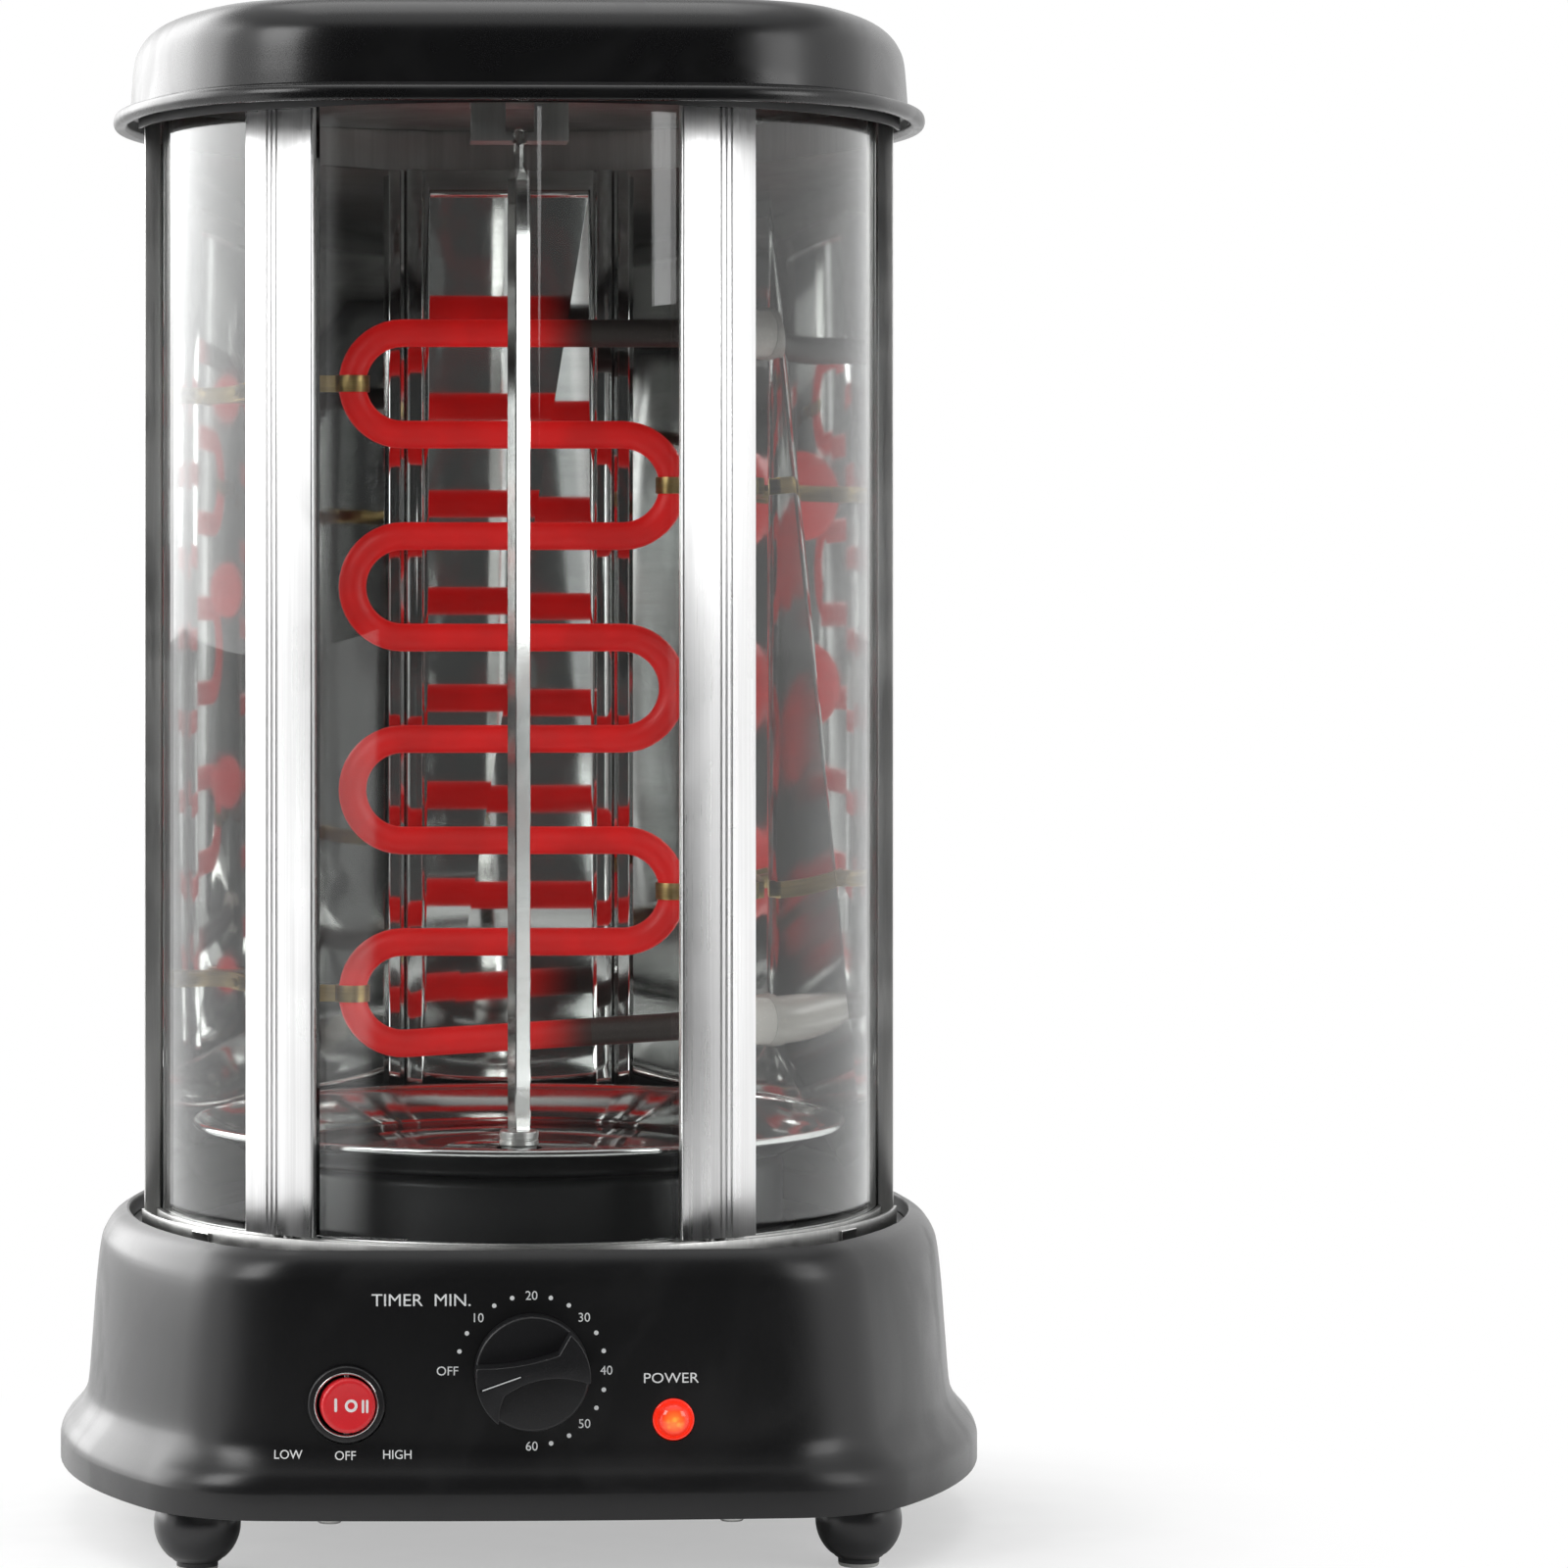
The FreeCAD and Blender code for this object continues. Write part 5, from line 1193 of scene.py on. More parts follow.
@dataclass
class Pan:
    """The polished drip pan and the dark seat below it."""

    radius: float = 103.6
    floor_radius: float = 78.0
    floor: Flat = (115.7, 116.5)
    rim: float = 127.1
    bead: float = 1.3
    hole: float = 7.4
    hollow: float = 1.7
    floor_rings: Flat = (24.0, 62.0)
    seat_radius: float = 84.0
    seat_wall: float = 1.5
    seat_hole: float = 12.0
    seat_round: float = 3.0
    deck: float = 93.1

    def wall(self, start: Flat, end: Flat, steps: int = 20) -> list[Flat]:
        """Gives the hollow curve of the pan's wall.

        Args:
            start: Foot of the wall.
            end: Its top.
            steps: Stretches along it.

        Returns:
            The points from foot to top.
        """
        found = []
        for index in range(steps + 1):
            share = index / steps
            rise = share**self.hollow
            found.append((start[0] + (end[0] - start[0]) * share, start[1] + (end[1] - start[1]) * rise))
        return found

    def build(self) -> None:
        """Makes the pan, with a rolled bead and two turned rings in its floor, and its seat."""
        low, high = self.floor
        centre = (self.radius - self.bead, self.rim - self.bead)
        head = self.radius - 2 * self.bead
        under = self.wall((self.floor_radius, low), (head + 0.4, centre[1] - 0.6))
        over = self.wall((self.floor_radius - 0.3, high), (head - 0.2, centre[1] + 0.2))
        bead = arc(centre, self.bead, -140, 160, 16)
        turned = ((1.2, 0.0), (0.5, 0.22), (-0.5, 0.22), (-1.2, 0.0))
        rings = [(radius + out, high + up) for radius in self.floor_rings for out, up in turned]
        floor = sorted(rings, reverse=True)
        profile = [(self.hole, low), *under, *bead, *reversed(over), *floor, (self.hole, high)]
        placed(made(spun(profile, steps=144), "drip_pan.spun"), Body.GRILL, Slot.POLISHED_STEEL, "drip_pan")
        r, wall, turn, deck = self.seat_radius, self.seat_wall, self.seat_round, self.deck
        seat = [(r + 4, deck), (r + 4, deck + 1.2), (r + 3.7, deck + wall), (r + 0.6, deck + wall)]
        seat += [(r, deck + wall + 0.6), (r, low - turn), *arc((r - turn, low - turn), turn, 0, 90, 6)[1:]]
        seat += [(self.seat_hole, low), (self.seat_hole, low - wall)]
        seat += [(r - turn, low - wall), (r - wall, low - turn), (r - wall, deck)]
        placed(made(spun(seat, steps=120), "pan_seat.spun"), Body.GRILL, Slot.SEAT_ENAMEL, "pan_seat")


# Drum of glass


@dataclass
class Drum:
    """The fixed side panes, the tracks they stand in, and the clips that hold them down."""

    pane: Flat = (112.0, 115.0)
    angles: Flat = (33.8, 80.7)
    heights: Flat = (94.4, 447.0)
    polish: float = 0.35

    def build(self) -> None:
        """Makes the panes and tracks."""
        for side, label in ((-1, "left"), (1, "right")):
            start, end = sorted((side * self.angles[0], side * self.angles[1]))
            pane = made(drum_sheet(self.pane, (start, end), self.heights, self.polish), f"side_pane_{label}")
            clear_of_shadow(placed(pane, Body.GRILL, Slot.CLEAR_GLASS, f"side_glass_{label}"))
        bench_piece("lower_door_track", Slot.BRUSHED_STEEL, 0.12)
        bench_piece("upper_door_track", Slot.SEAT_ENAMEL, 0.15)
        bench_piece("track_clips", Slot.POLISHED_STEEL, 0.25, 3)


def clear_of_shadow(thing: Thing) -> Thing:
    """Lets plain light through a pane, as real glass does.

    Args:
        thing: The pane.

    Returns:
        The same pane.
    """
    thing.visible_shadow = False
    thing.visible_diffuse = False
    return thing


@dataclass
class Door:
    """The middle pane with its two grooved bars and their pins."""

    rest: float = -5.2
    half: float = 33.8
    pane: Flat = (115.5, 118.5)
    bar_outer: float = 121.0
    bar_half: float = 6.3
    rib: Flat = (2.4, 5.4)
    heights: Flat = (99.5, 443.2)
    groove_width: float = 0.7
    groove_depth: float = 0.6
    groove_pitch: float = 1.9
    groove_lip: float = 0.12
    pin_radius: float = 1.5
    pin_spacing: float = 5.0
    pin_ends: Flat = (94.7, 448.7)
    pin_grip: float = 9.0
    rounding: float = 0.7

    def face_angles(self, side: int) -> list[Flat]:
        """Gives the outer face of a bar, grooves among it, as radius and angle from its middle.

        Args:
            side: -1 for the left bar and 1 for the right.

        Returns:
            Corners from the lowest angle to the highest.
        """
        per_mm = math.degrees(1 / self.bar_outer)
        edge = self.rounding
        foot = self.bar_outer - edge
        turns = [math.radians(90 * index / 4) for index in range(5)]
        row = [
            (foot + edge * math.sin(a), -self.bar_half + (edge - edge * math.cos(a)) * per_mm) for a in turns
        ]
        for index in range(3):
            at = (side + (index - 1)) * self.groove_pitch * per_mm
            half = self.groove_width / 2 * per_mm
            lip = half + self.groove_lip * per_mm
            under = self.bar_outer - self.groove_lip
            bed = self.bar_outer - self.groove_depth
            row += [
                (self.bar_outer, at - lip),
                (under, at - half),
                (bed, at - half * 0.8),
                (bed, at + half * 0.8),
                (under, at + half),
                (self.bar_outer, at + lip),
            ]
        row += [
            (foot + edge * math.cos(a), self.bar_half - (edge - edge * math.sin(a)) * per_mm) for a in turns
        ]
        return row

    def bar(self, side: int) -> Form:
        """Makes one extruded bar: a grooved face and a rib that closes on the edge of the pane.

        Args:
            side: -1 for the left bar and 1 for the right.

        Returns:
            The form.
        """
        middle = self.rest + side * self.half
        back = self.pane[1] + 0.1
        row = self.face_angles(side)
        low, high = sorted((-side * self.rib[0], side * self.rib[1]))
        rear = [(back, self.bar_half), (back, high), (self.pane[0] + 0.1, high)]
        rear += [(self.pane[0] + 0.1, low), (back, low), (back, -self.bar_half)]
        outline = [(radius, middle + angle) for radius, angle in row + rear]
        return Form().loft(
            [[drum_point(radius, angle, z) for radius, angle in outline] for z in self.heights]
        )

    def build(self) -> None:
        """Makes the pane, bars and pins."""
        edge = self.half - self.rib[0]
        sheet = drum_sheet(self.pane, (self.rest - edge, self.rest + edge), self.heights, 0.3)
        pane = made(sheet, "door_pane")
        clear_of_shadow(placed(pane, Body.DOOR, Slot.CLEAR_GLASS, "door_glass"))
        pins = Form()
        for side, label in ((-1, "left"), (1, "right")):
            bar = eased(made(self.bar(side), f"door_bar_{label}.grooved"), 0.12, 2, 60.0)
            placed(bar, Body.DOOR, Slot.BAR_ALUMINIUM, f"door_bar_{label}")
            for sign in (-1, 1):
                turn = math.degrees(sign * self.pin_spacing / 2 / self.pane[1])
                x, y, _ = drum_point(self.pane[1], self.rest + side * self.half + turn, 0.0)
                for tip, root in (
                    (self.pin_ends[0], self.heights[0] + self.pin_grip),
                    (self.pin_ends[1], self.heights[1] - self.pin_grip),
                ):
                    inward = math.copysign(0.4, root - tip)
                    profile = [(0.0, tip), (self.pin_radius - 0.4, tip), (self.pin_radius, tip + inward)]
                    profile += [(self.pin_radius, root), (0.0, root)]
                    pins.join(spun(profile, (x, y), steps=28))
        placed(made(pins, "door_pins.turned"), Body.DOOR, Slot.ZINC_STEEL, "door_pins")


# Back shell and reflectors


@dataclass
class BackShell:
    """The rolled back sheet with its front posts, its louvres and the hoods over them."""

    radius: float = 119.4
    axis_y: float = 2.0
    starts: Flat = (130.0, 330.0)
    count: int = 8
    pitch: float = 10.0
    length: float = 60.0
    slot_height: float = 4.0
    reach: float = 2.4
    sheet: float = 0.7

    def hood(self, z: float) -> Form:
        """Makes the pressed hood over one louvre.

        Args:
            z: Height of the slot's lower edge.

        Returns:
            The form.
        """
        rings = []
        steps = 16
        for index in range(steps + 1):
            share = index / steps * 2 - 1
            x = share * (self.length / 2 + 1.5)
            swell = max(0.0, 1 - abs(share) ** 6) ** 0.5
            wall = self.axis_y + math.sqrt(self.radius**2 - x**2)
            outer = [
                (0.05 + self.reach * swell * (1 - (step / 6) ** 2), 0.6 + (self.slot_height + 1.4) * step / 6)
                for step in range(7)
            ]
            inner = [(max(0.0, out - self.sheet), high - 0.1) for out, high in reversed(outer)]
            rings.append([(x, wall + out, z + high) for out, high in outer + inner])
        return Form().loft(rings)

    def build(self) -> None:
        """Makes the shell and the hoods."""
        bench_piece("back_shell", Slot.BRUSHED_STEEL, 0.3, 3)
        hoods = Form()
        for start in self.starts:
            for index in range(self.count):
                hoods.join(self.hood(start + index * self.pitch))
        placed(made(hoods, "louvre_hoods"), Body.GRILL, Slot.BRUSHED_STEEL)


@dataclass
class Reflectors:
    """The three polished panels behind the element."""

    fold: float = 0.5

    def build(self) -> None:
        """Makes the panels with rounded folds."""
        for node in ("reflector_centre", "reflector_left", "reflector_right"):
            bench_piece(node, Slot.REFLECTOR_STEEL, self.fold, 3)


# Heating element


@dataclass
class Element:
    """The serpentine tube, its cold ends, straps and bolts."""

    y: float = 66.0
    radius: float = 4.6
    reach: float = 58.0
    runs: int = 8
    top: float = 379.0
    pitch: float = 33.6
    tilt: float = 3.4
    hot_end: float = 26.0
    cold_end: float = 93.0
    sides: int = 32
    bend_steps: int = 20

    def path(self) -> list[Flat]:
        """Gives the middle line of the hot tube.

        Returns:
            Points as x and z, from its upper end to its lower one.
        """
        bend = self.pitch / 2
        turn_x = self.reach - self.radius - bend
        row: list[Flat] = [(self.hot_end, self.top)]
        for index in range(self.runs - 1):
            side = -1 if index % 2 == 0 else 1
            centre = (side * turn_x, self.top - index * self.pitch - bend)
            sweep = 180 + self.tilt if index == self.runs - 2 else 180
            row += arc(centre, bend, 90, 90 - side * sweep, self.bend_steps)
        last_x, last_z = row[-1]
        rise = (self.hot_end - last_x) * math.tan(math.radians(self.tilt))
        row.append((self.hot_end, last_z + rise))
        return row

    def tube(self, path: Sequence[Flat]) -> Form:
        """Runs a round tube along a level or bent line in the element's plane.

        Args:
            path: Points as x and z.

        Returns:
            The form.
        """
        rings = []
        for index, (x, z) in enumerate(path):
            before = path[max(0, index - 1)]
            after = path[min(len(path) - 1, index + 1)]
            along = Vector((after[0] - before[0], after[1] - before[1])).normalized()
            ring = []
            for step in range(self.sides):
                a = math.tau * step / self.sides
                out = self.radius * math.cos(a)
                ring.append((x - along.y * out, self.y + self.radius * math.sin(a), z + along.x * out))
            rings.append(ring)
        return Form().loft(rings)

    def build(self) -> None:
        """Makes the tube, its cold ends and its fittings."""
        path = self.path()
        placed(made(self.tube(path), "element_tube"), Body.GRILL, Slot.ELEMENT_SHEATH, "heating_element")
        rise = (self.cold_end - self.hot_end) * math.tan(math.radians(self.tilt))
        cold = self.tube([path[0], (self.cold_end, self.top)])
        cold.join(self.tube([path[-1], (self.cold_end, path[-1][1] + rise)]))
        placed(made(cold, "element_cold_tubes"), Body.GRILL, Slot.COLD_SHEATH, "element_cold_ends")
        bench_piece("element_clips", Slot.BRASS, 0.12)
        bench_piece("clip_bolts", Slot.BRASS, 0.2)
        bench_piece("element_bushes", Slot.CERAMIC, 0.5)
        bench_piece("element_terminals", Slot.ZINC_STEEL, 0.2)


# Spit and bracket


@dataclass
class Spit:
    """The square spit, the collar it stands in, and the bracket that steadies its tip."""

    side: float = 5.6
    turn: float = 27.6
    bottom: float = 118.4
    shoulder: float = 425.0
    neck: float = 429.5
    tip: float = 442.0
    pin_radius: float = 1.5
    hub_radius: float = 6.25
    hub: Flat = (117.1, 122.1)

    def square(self, half: float, z: float, cut: float) -> list[Point]:
        """Gives the bar's section with cut corners.

        Args:
            half: Half its side.
            z: Its height.
            cut: Size of the corner cuts.

        Returns:
            Eight points.
        """
        a = math.radians(self.turn)
        flat = chamfered((-half, half), (-half, half), cut)
        return [(x * math.cos(a) - y * math.sin(a), x * math.sin(a) + y * math.cos(a), z) for x, y in flat]

    def bar(self) -> Form:
        """Makes the square bar with its drawn-down neck and rounded tip.

        Returns:
            The form.
        """
        half = self.side / 2
        rings = [self.square(half - 0.3, self.bottom, 0.4), self.square(half, self.bottom + 0.4, 0.4)]
        rings.append(self.square(half, self.shoulder, 0.4))
        for share in (0.25, 0.5, 0.75, 1.0):
            shrink = half + (self.pin_radius - half) * share
            z = self.shoulder + (self.neck - self.shoulder) * share
            rings.append(self.square(shrink, z, 0.4 + (shrink * 0.58 - 0.4) * share))
        rings.append(self.square(self.pin_radius, self.tip - self.pin_radius, self.pin_radius * 0.58))
        for a in (30.0, 60.0, 85.0):
            radius = self.pin_radius * math.cos(math.radians(a))
            z = self.tip - self.pin_radius + self.pin_radius * math.sin(math.radians(a))
            rings.append(self.square(radius, z, radius * 0.58))
        return Form().loft(rings)

    def collar(self) -> Thing:
        """Makes the turned collar with a square socket and a groove round its edge.

        Returns:
            The collar.
        """
        low, high = self.hub
        r = self.hub_radius
        profile = [(0.0, 101.0), (5.6, 101.0), (5.6, low), (r - 0.5, low), (r, low + 0.5), (r, low + 1.9)]
        profile += [(r - 0.25, low + 2.1), (r - 0.25, low + 2.5), (r, low + 2.7), (r, high - 0.8)]
        profile += arc((r - 0.8, high - 0.8), 0.8, 0, 90, 4)[1:] + [(0.0, high)]
        collar = made(spun(profile, steps=72), "spit_collar")
        socket = Form().loft([self.square(self.side / 2 + 0.12, z, 0.2) for z in (high - 4.0, high + 1.0)])
        return carved(collar, made(socket, "socket_cutter"))

    def build(self) -> None:
        """Makes the spit, the collar and the bracket."""
        placed(made(self.bar(), "spit_bar"), Body.SPIT, Slot.POLISHED_STEEL, "spit")
        placed(self.collar(), Body.SPIT, Slot.ZINC_STEEL, "drive_hub")
        bench_piece("top_bracket", Slot.BRUSHED_STEEL, 0.3, 3)
        bench_piece("bracket_screws", Slot.ZINC_STEEL, 0.12)


# Lid


@dataclass
class Lid:
    """The pressed lid with its rolled lip, and the plate and screws under it."""

    plan: BowedPlan = BowedPlan(129.3, 121.2, 129.5, 62.0)
    bottom: float = 440.6
    curl: float = 2.3
    sheet: float = 1.2
    crown: tuple[Flat, ...] = (
        (5.4, 5.8),
        (5.8, 12.0),
        (6.6, 20.5),
        (8.2, 25.0),
        (11.0, 28.6),
        (15.0, 31.2),
        (20.5, 32.5),
        (34.0, 33.0),
    )

    def middle(self, ring: list[Point], share: float) -> list[Point]:
        """Draws a ring in towards its middle, keeping its height.

        Args:
            ring: The ring.
            share: How much of its size is left.

        Returns:
            The smaller ring.
        """
        centre_y = (self.plan.rear - self.plan.front) / 2
        return [(x * share, centre_y + (y - centre_y) * share, z) for x, y, z in ring]

    def raised(self, *profile: Flat) -> list[Flat]:
        """Measures a profile's heights from the floor instead of from the lid's rim."""
        return [(inset, self.bottom + high) for inset, high in profile]

    def cap(self) -> Form:
        """Makes the lid as one closed sheet.

        Returns:
            The form.
        """
        lip = []
        for index in range(13):
            a = math.radians(180 * index / 12)
            lip.append((self.curl * (1 - math.sin(a)) * 0.6, self.bottom + self.curl * (1 - math.cos(a))))
        low = self.raised((4.6, 2.6), (4.45, 1.4), (3.7, 0.4), (2.6, 0.05))
        groove = self.raised((4.1, 4.75), (4.5, 5.0), (4.6, 5.3))
        outside = self.plan.rings(low + lip + groove + self.raised(*smoothed(self.crown, 4)))
        shares = (0.8, 0.55, 0.3, 0.1, 0.0)
        outside += [self.middle(outside[-1], share) for share in shares]
        inner = self.raised((4.6, 5.2), (6.8, 6.2))
        inner += [(inset + self.sheet, self.bottom + high) for inset, high in self.crown[1:4]]
        inner += [(inset + 0.8, self.bottom + high - self.sheet) for inset, high in self.crown[4:]]
        inside = self.plan.rings(inner)
        inside += [self.middle(inside[-1], share) for share in shares]
        return Form().loft([*reversed(inside), *outside])

    def build(self) -> None:
        """Makes the cap and dresses what is under it."""
        placed(made(self.cap(), "lid_pressing"), Body.GRILL, Slot.LID_ENAMEL, "lid_cap", angle=34.0)
        bench_piece("lid_plate", Slot.PLATED_STEEL, 0.2)
        bench_piece("lid_screws", Slot.ZINC_STEEL, 0.15)


# Controls


@dataclass
class Fitting:
    """A round fitting on a wall of the base, turned about a level axis of its own."""

    x: float
    height: float
    seat: float

    def turned(self, profile: Sequence[Flat], steps: int) -> Form:
        """Turns a profile of radius and place along Y about the fitting's axis."""
        return spun(profile, (self.x, self.height), Turn.LEVEL, steps)

    def bored(self, steps: int, *cuts: Point) -> list[Form]:
        """Gives the round shapes that the fitting needs cut from the base.

        Args:
            steps: Faces round each shape.
            *cuts: Radius of each shape, and its two ends measured from the seat.

        Returns:
            The shapes.
        """
        rows = [
            [(0.0, near), (radius, near), (radius, far), (0.0, far)]
            for radius, near, far in ((cut[0], self.seat + cut[1], self.seat + cut[2]) for cut in cuts)
        ]
        return [self.turned(row, steps) for row in rows]


@dataclass
class TimerKnob(Fitting):
    """The timer's round knob with a waisted grip across its face."""

    x: float = 0.0
    height: float = 63.2
    seat: float = -119.0517
    back: float = -119.35
    front: float = -136.0
    radius: float = 17.0
    pocket: float = 9.0
    bore: float = 7.0
    shaft: float = 3.0
    shaft_hole: float = 5.2
    hollow_wall: float = 2.0
    hollow_depth: float = 5.5
    core: float = 6.0
    rounding: float = 0.8
    pointer_turn: float = 19.3
    pointer_lift: float = 2.05
    upper: tuple[Flat, Flat, Flat, Flat] = ((-20.0, 3.2), (-3.0, 4.1), (7.6, 6.9), (11.0, 12.8))
    lower: tuple[Flat, Flat, Flat, Flat] = ((20.0, -3.4), (1.5, -0.6), (-8.6, -5.2), (-9.9, -9.0))
    lower_end: Flat = (-10.3, -13.5)

    def cutters(self) -> list[Form]:
        """Gives the flat seat and the shaft hole that the knob needs in the base."""
        return self.bored(96, (self.radius + 0.5, -12, 0), (self.shaft_hole, -2, 9))

    def inside(self, row: Sequence[Flat]) -> list[Flat]:
        """Keeps the points of a line that lie within the knob."""
        return [point for point in row if math.hypot(*point) < self.radius]

    def grip(self) -> list[Flat]:
        """Gives the outline of the grip on the knob's face.

        Returns:
            Points as x and height from the knob's middle.
        """
        top = self.inside(arc_through(*self.upper[:3], 30)) + [self.upper[3]]
        top_end = math.degrees(math.atan2(self.upper[3][1], self.upper[3][0]))
        bottom = self.inside(arc_through(*self.lower[:3], 30)) + [self.lower[3]]
        right_end = math.degrees(math.atan2(bottom[0][1], bottom[0][0]))
        left_start = math.degrees(math.atan2(self.lower_end[1], self.lower_end[0])) % 360
        left_end = math.degrees(math.atan2(top[0][1], top[0][0])) % 360
        edge = self.radius - 0.02
        right = arc((0.0, 0.0), edge, top_end - 1.5, right_end + 1.0, 22)
        left = arc((0.0, 0.0), edge, left_start, left_end + 1.0, 26)
        return top + right + bottom + left

    def build(self) -> None:
        """Makes the knob with its pointer, and the shaft behind it."""
        edge = arc((self.radius - 0.8, self.front + self.pocket + 0.8), 0.8, -90, 0, 5)
        inside, roof = self.radius - self.hollow_wall, self.back - self.hollow_depth
        disc = [(0.0, self.front + self.pocket), *edge, (self.radius, self.back), (inside, self.back)]
        disc += [(inside, roof), (self.core, roof), (self.core, self.back)]
        bore_end = self.back - self.bore
        disc += [(self.shaft + 0.02, self.back), (self.shaft + 0.02, bore_end), (0.0, bore_end)]
        knob = made(self.turned(disc, 120), "knob_disc")
        outline = self.grip()
        rings = []
        for y in (self.front + self.pocket + 0.4, self.front):
            rings.append([(x, y, self.height + z) for x, z in outline])
        grip = eased(made(Form().loft(rings), "knob_grip"), self.rounding, 4, 60.0)
        slit = block((-16.6, -3.8), (self.front - 1, self.front + 0.8), (-0.38, 0.38))
        carved(grip, made(slit.moved(self.on_pointer), "pointer_cutter"))
        placed(grip, Body.KNOB, Slot.KNOB_PLASTIC)
        placed(knob, Body.KNOB, Slot.KNOB_PLASTIC, "timer_knob")
        # A white strip along the lower wall of the pointer slot: a painted highlight, standing for light that
        # falls on that wall.
        line = block((-16.0, -4.0), (self.front + 0.1, self.front + 0.78), (-0.36, -0.06))
        painted_highlight = made(line.moved(self.on_pointer), "pointer_painted_highlight")
        placed(painted_highlight, Body.KNOB, Slot.KNOB_PLASTIC)
        painted_highlight.data.materials[0] = WHITE_PRINT_AND_HIGHLIGHT.material()
        tip, rear = bore_end + 0.1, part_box("timer_shaft")[1][1] / MM
        rod = [(0.0, tip), (self.shaft - 0.3, tip), (self.shaft, tip + 0.3)]
        rod += [(self.shaft, rear - 0.3), (self.shaft - 0.3, rear), (0.0, rear)]
        shaft = made(self.turned(rod, 48), "timer_shaft.turned")
        placed(shaft, Body.KNOB, Slot.BRASS, "timer_shaft")

    def on_pointer(self, point: Point) -> Point:
        """Turns a point drawn along the knob's middle onto its pointer line.

        Args:
            point: The point as drawn.

        Returns:
            Where it goes.
        """
        a = math.radians(self.pointer_turn)
        x, y, z = point
        middle = self.height + self.pointer_lift
        return (x * math.cos(a) - z * math.sin(a), y, middle + x * math.sin(a) + z * math.cos(a))


@dataclass
class RockerSwitch(Fitting):
    """The round rocker switch with its bright ring and marked button."""

    x: float = -55.0
    height: float = 53.4
    seat: float = -118.4345
    bezel_radius: float = 11.5
    bezel_depth: float = 2.0
    ring_radius: float = 9.6
    ring_wall: float = 0.6
    button_radius: float = 8.1
    button_proud: float = 2.6
    button_depth: float = 5.6
    dish: float = 0.5
    tilt: float = 9.0
    pivot_y: float = -118.2345
    hole: float = 10.1
    barrel: Flat = (9.85, 18.0)
    well: Flat = (6.0, 7.6)
    strokes: tuple[tuple[float, float, float, float], ...] = (
        (-3.9, 0.4, 0.85, 4.1),
        (4.25, -0.2, 0.72, 4.0),
        (5.5, -0.2, 0.72, 4.0),
    )
    circle: Flat = (0.75, 0.05)
    circle_radii: Flat = (1.9, 1.05)

    def cutters(self) -> list[Form]:
        """Gives the flat seat and the round hole that the switch needs in the base."""
        return self.bored(96, (self.bezel_radius + 0.3, -10, 0), (self.hole, -1, 9))

    def tilted(self, point: Point) -> Point:
        """Turns a point with the button, pressed in on its right.

        Args:
            point: The point of the level button.

        Returns:
            Where it goes.
        """
        a = math.radians(self.tilt)
        x, y = point[0] - self.x, point[1] - self.pivot_y
        return (
            self.x + x * math.cos(a) - y * math.sin(a),
            self.pivot_y + x * math.sin(a) + y * math.cos(a),
            point[2],
        )

    def build(self) -> None:
        """Makes the bezel, ring, button and its marks."""
        front = self.seat - self.bezel_depth
        well = self.ring_radius - self.ring_wall - 0.2
        ledge = front + 0.8
        bezel = [(well, front + self.well[0]), (well, ledge), (self.ring_radius, ledge)]
        bezel += [(self.ring_radius, front + 0.1), (self.ring_radius + 0.1, front)]
        bezel += arc((self.bezel_radius - 0.8, ledge), 0.8, -90, 0, 5)
        barrel, rear = self.barrel[0], self.seat + self.barrel[1]
        bezel += [(self.bezel_radius, self.seat), (barrel, self.seat), (barrel, rear), (0.0, rear)]
        bezel += [(0.0, front + self.well[1]), (well - 0.4, front + self.well[1])]
        thing = made(self.turned(bezel, 96), "switch_bezel")
        placed(thing, Body.GRILL, Slot.SWITCH_PLASTIC, "switch_housing")
        inner = self.ring_radius - self.ring_wall
        lip = arc((inner + 0.3, front - 0.05), 0.28, 180, 360, 8)
        ring = [*lip, (self.ring_radius - 0.02, front + 0.78), (inner, front + 0.78)]
        trim = made(self.turned(ring, 96), "switch_ring")
        placed(trim, Body.GRILL, Slot.POLISHED_STEEL, "switch_trim_ring")
        self.button()

    def button(self) -> None:
        """Makes the dished button and the marks on it."""
        front = self.seat - self.bezel_depth - self.button_proud
        r = self.button_radius
        face = [(r * 0.93 * step / 8, front + self.dish * (1 - (step / 8) ** 2)) for step in range(9)]
        edge = arc((r - 0.7, front + 0.75), 0.7, -70, 0, 5)
        back = front + self.button_depth
        profile = [*face, *edge, (r, back - 0.4), (r - 0.4, back), (0.0, back)]
        button = made(self.turned(profile, 96).moved(self.tilted), "rocker_button")
        placed(button, Body.ROCKER, Slot.SWITCH_RED, "switch_button", angle=50.0)
        marks = Form()
        for x, z, wide, high in self.strokes:
            outline = []
            for end, start in ((-1, 180), (1, 0)):
                outline += arc((0.0, end * (high - wide) / 2), wide / 2, start, start + 180, 6)
            marks.join(self.raised([(x + px, z + pz) for px, pz in outline]))
        marks.join(self.raised(*(arc(self.circle, radius, 0, 360, 32)[:-1] for radius in self.circle_radii)))
        thing = made(marks.moved(self.tilted), "rocker_marks")
        placed(thing, Body.ROCKER, Slot.SWITCH_PLASTIC)
        thing.data.materials[0] = BUTTON_INK.material()

    def face_y(self, x: float, z: float) -> float:
        """Finds the dished face before it is tilted.

        Args:
            x: Place along the width, from the button's middle.
            z: Height from the button's middle.

        Returns:
            The y of the face there.
        """
        front = self.seat - self.bezel_depth - self.button_proud
        share = math.hypot(x, z) / (self.button_radius * 0.93)
        return front + self.dish * (1 - min(1.0, share) ** 2)

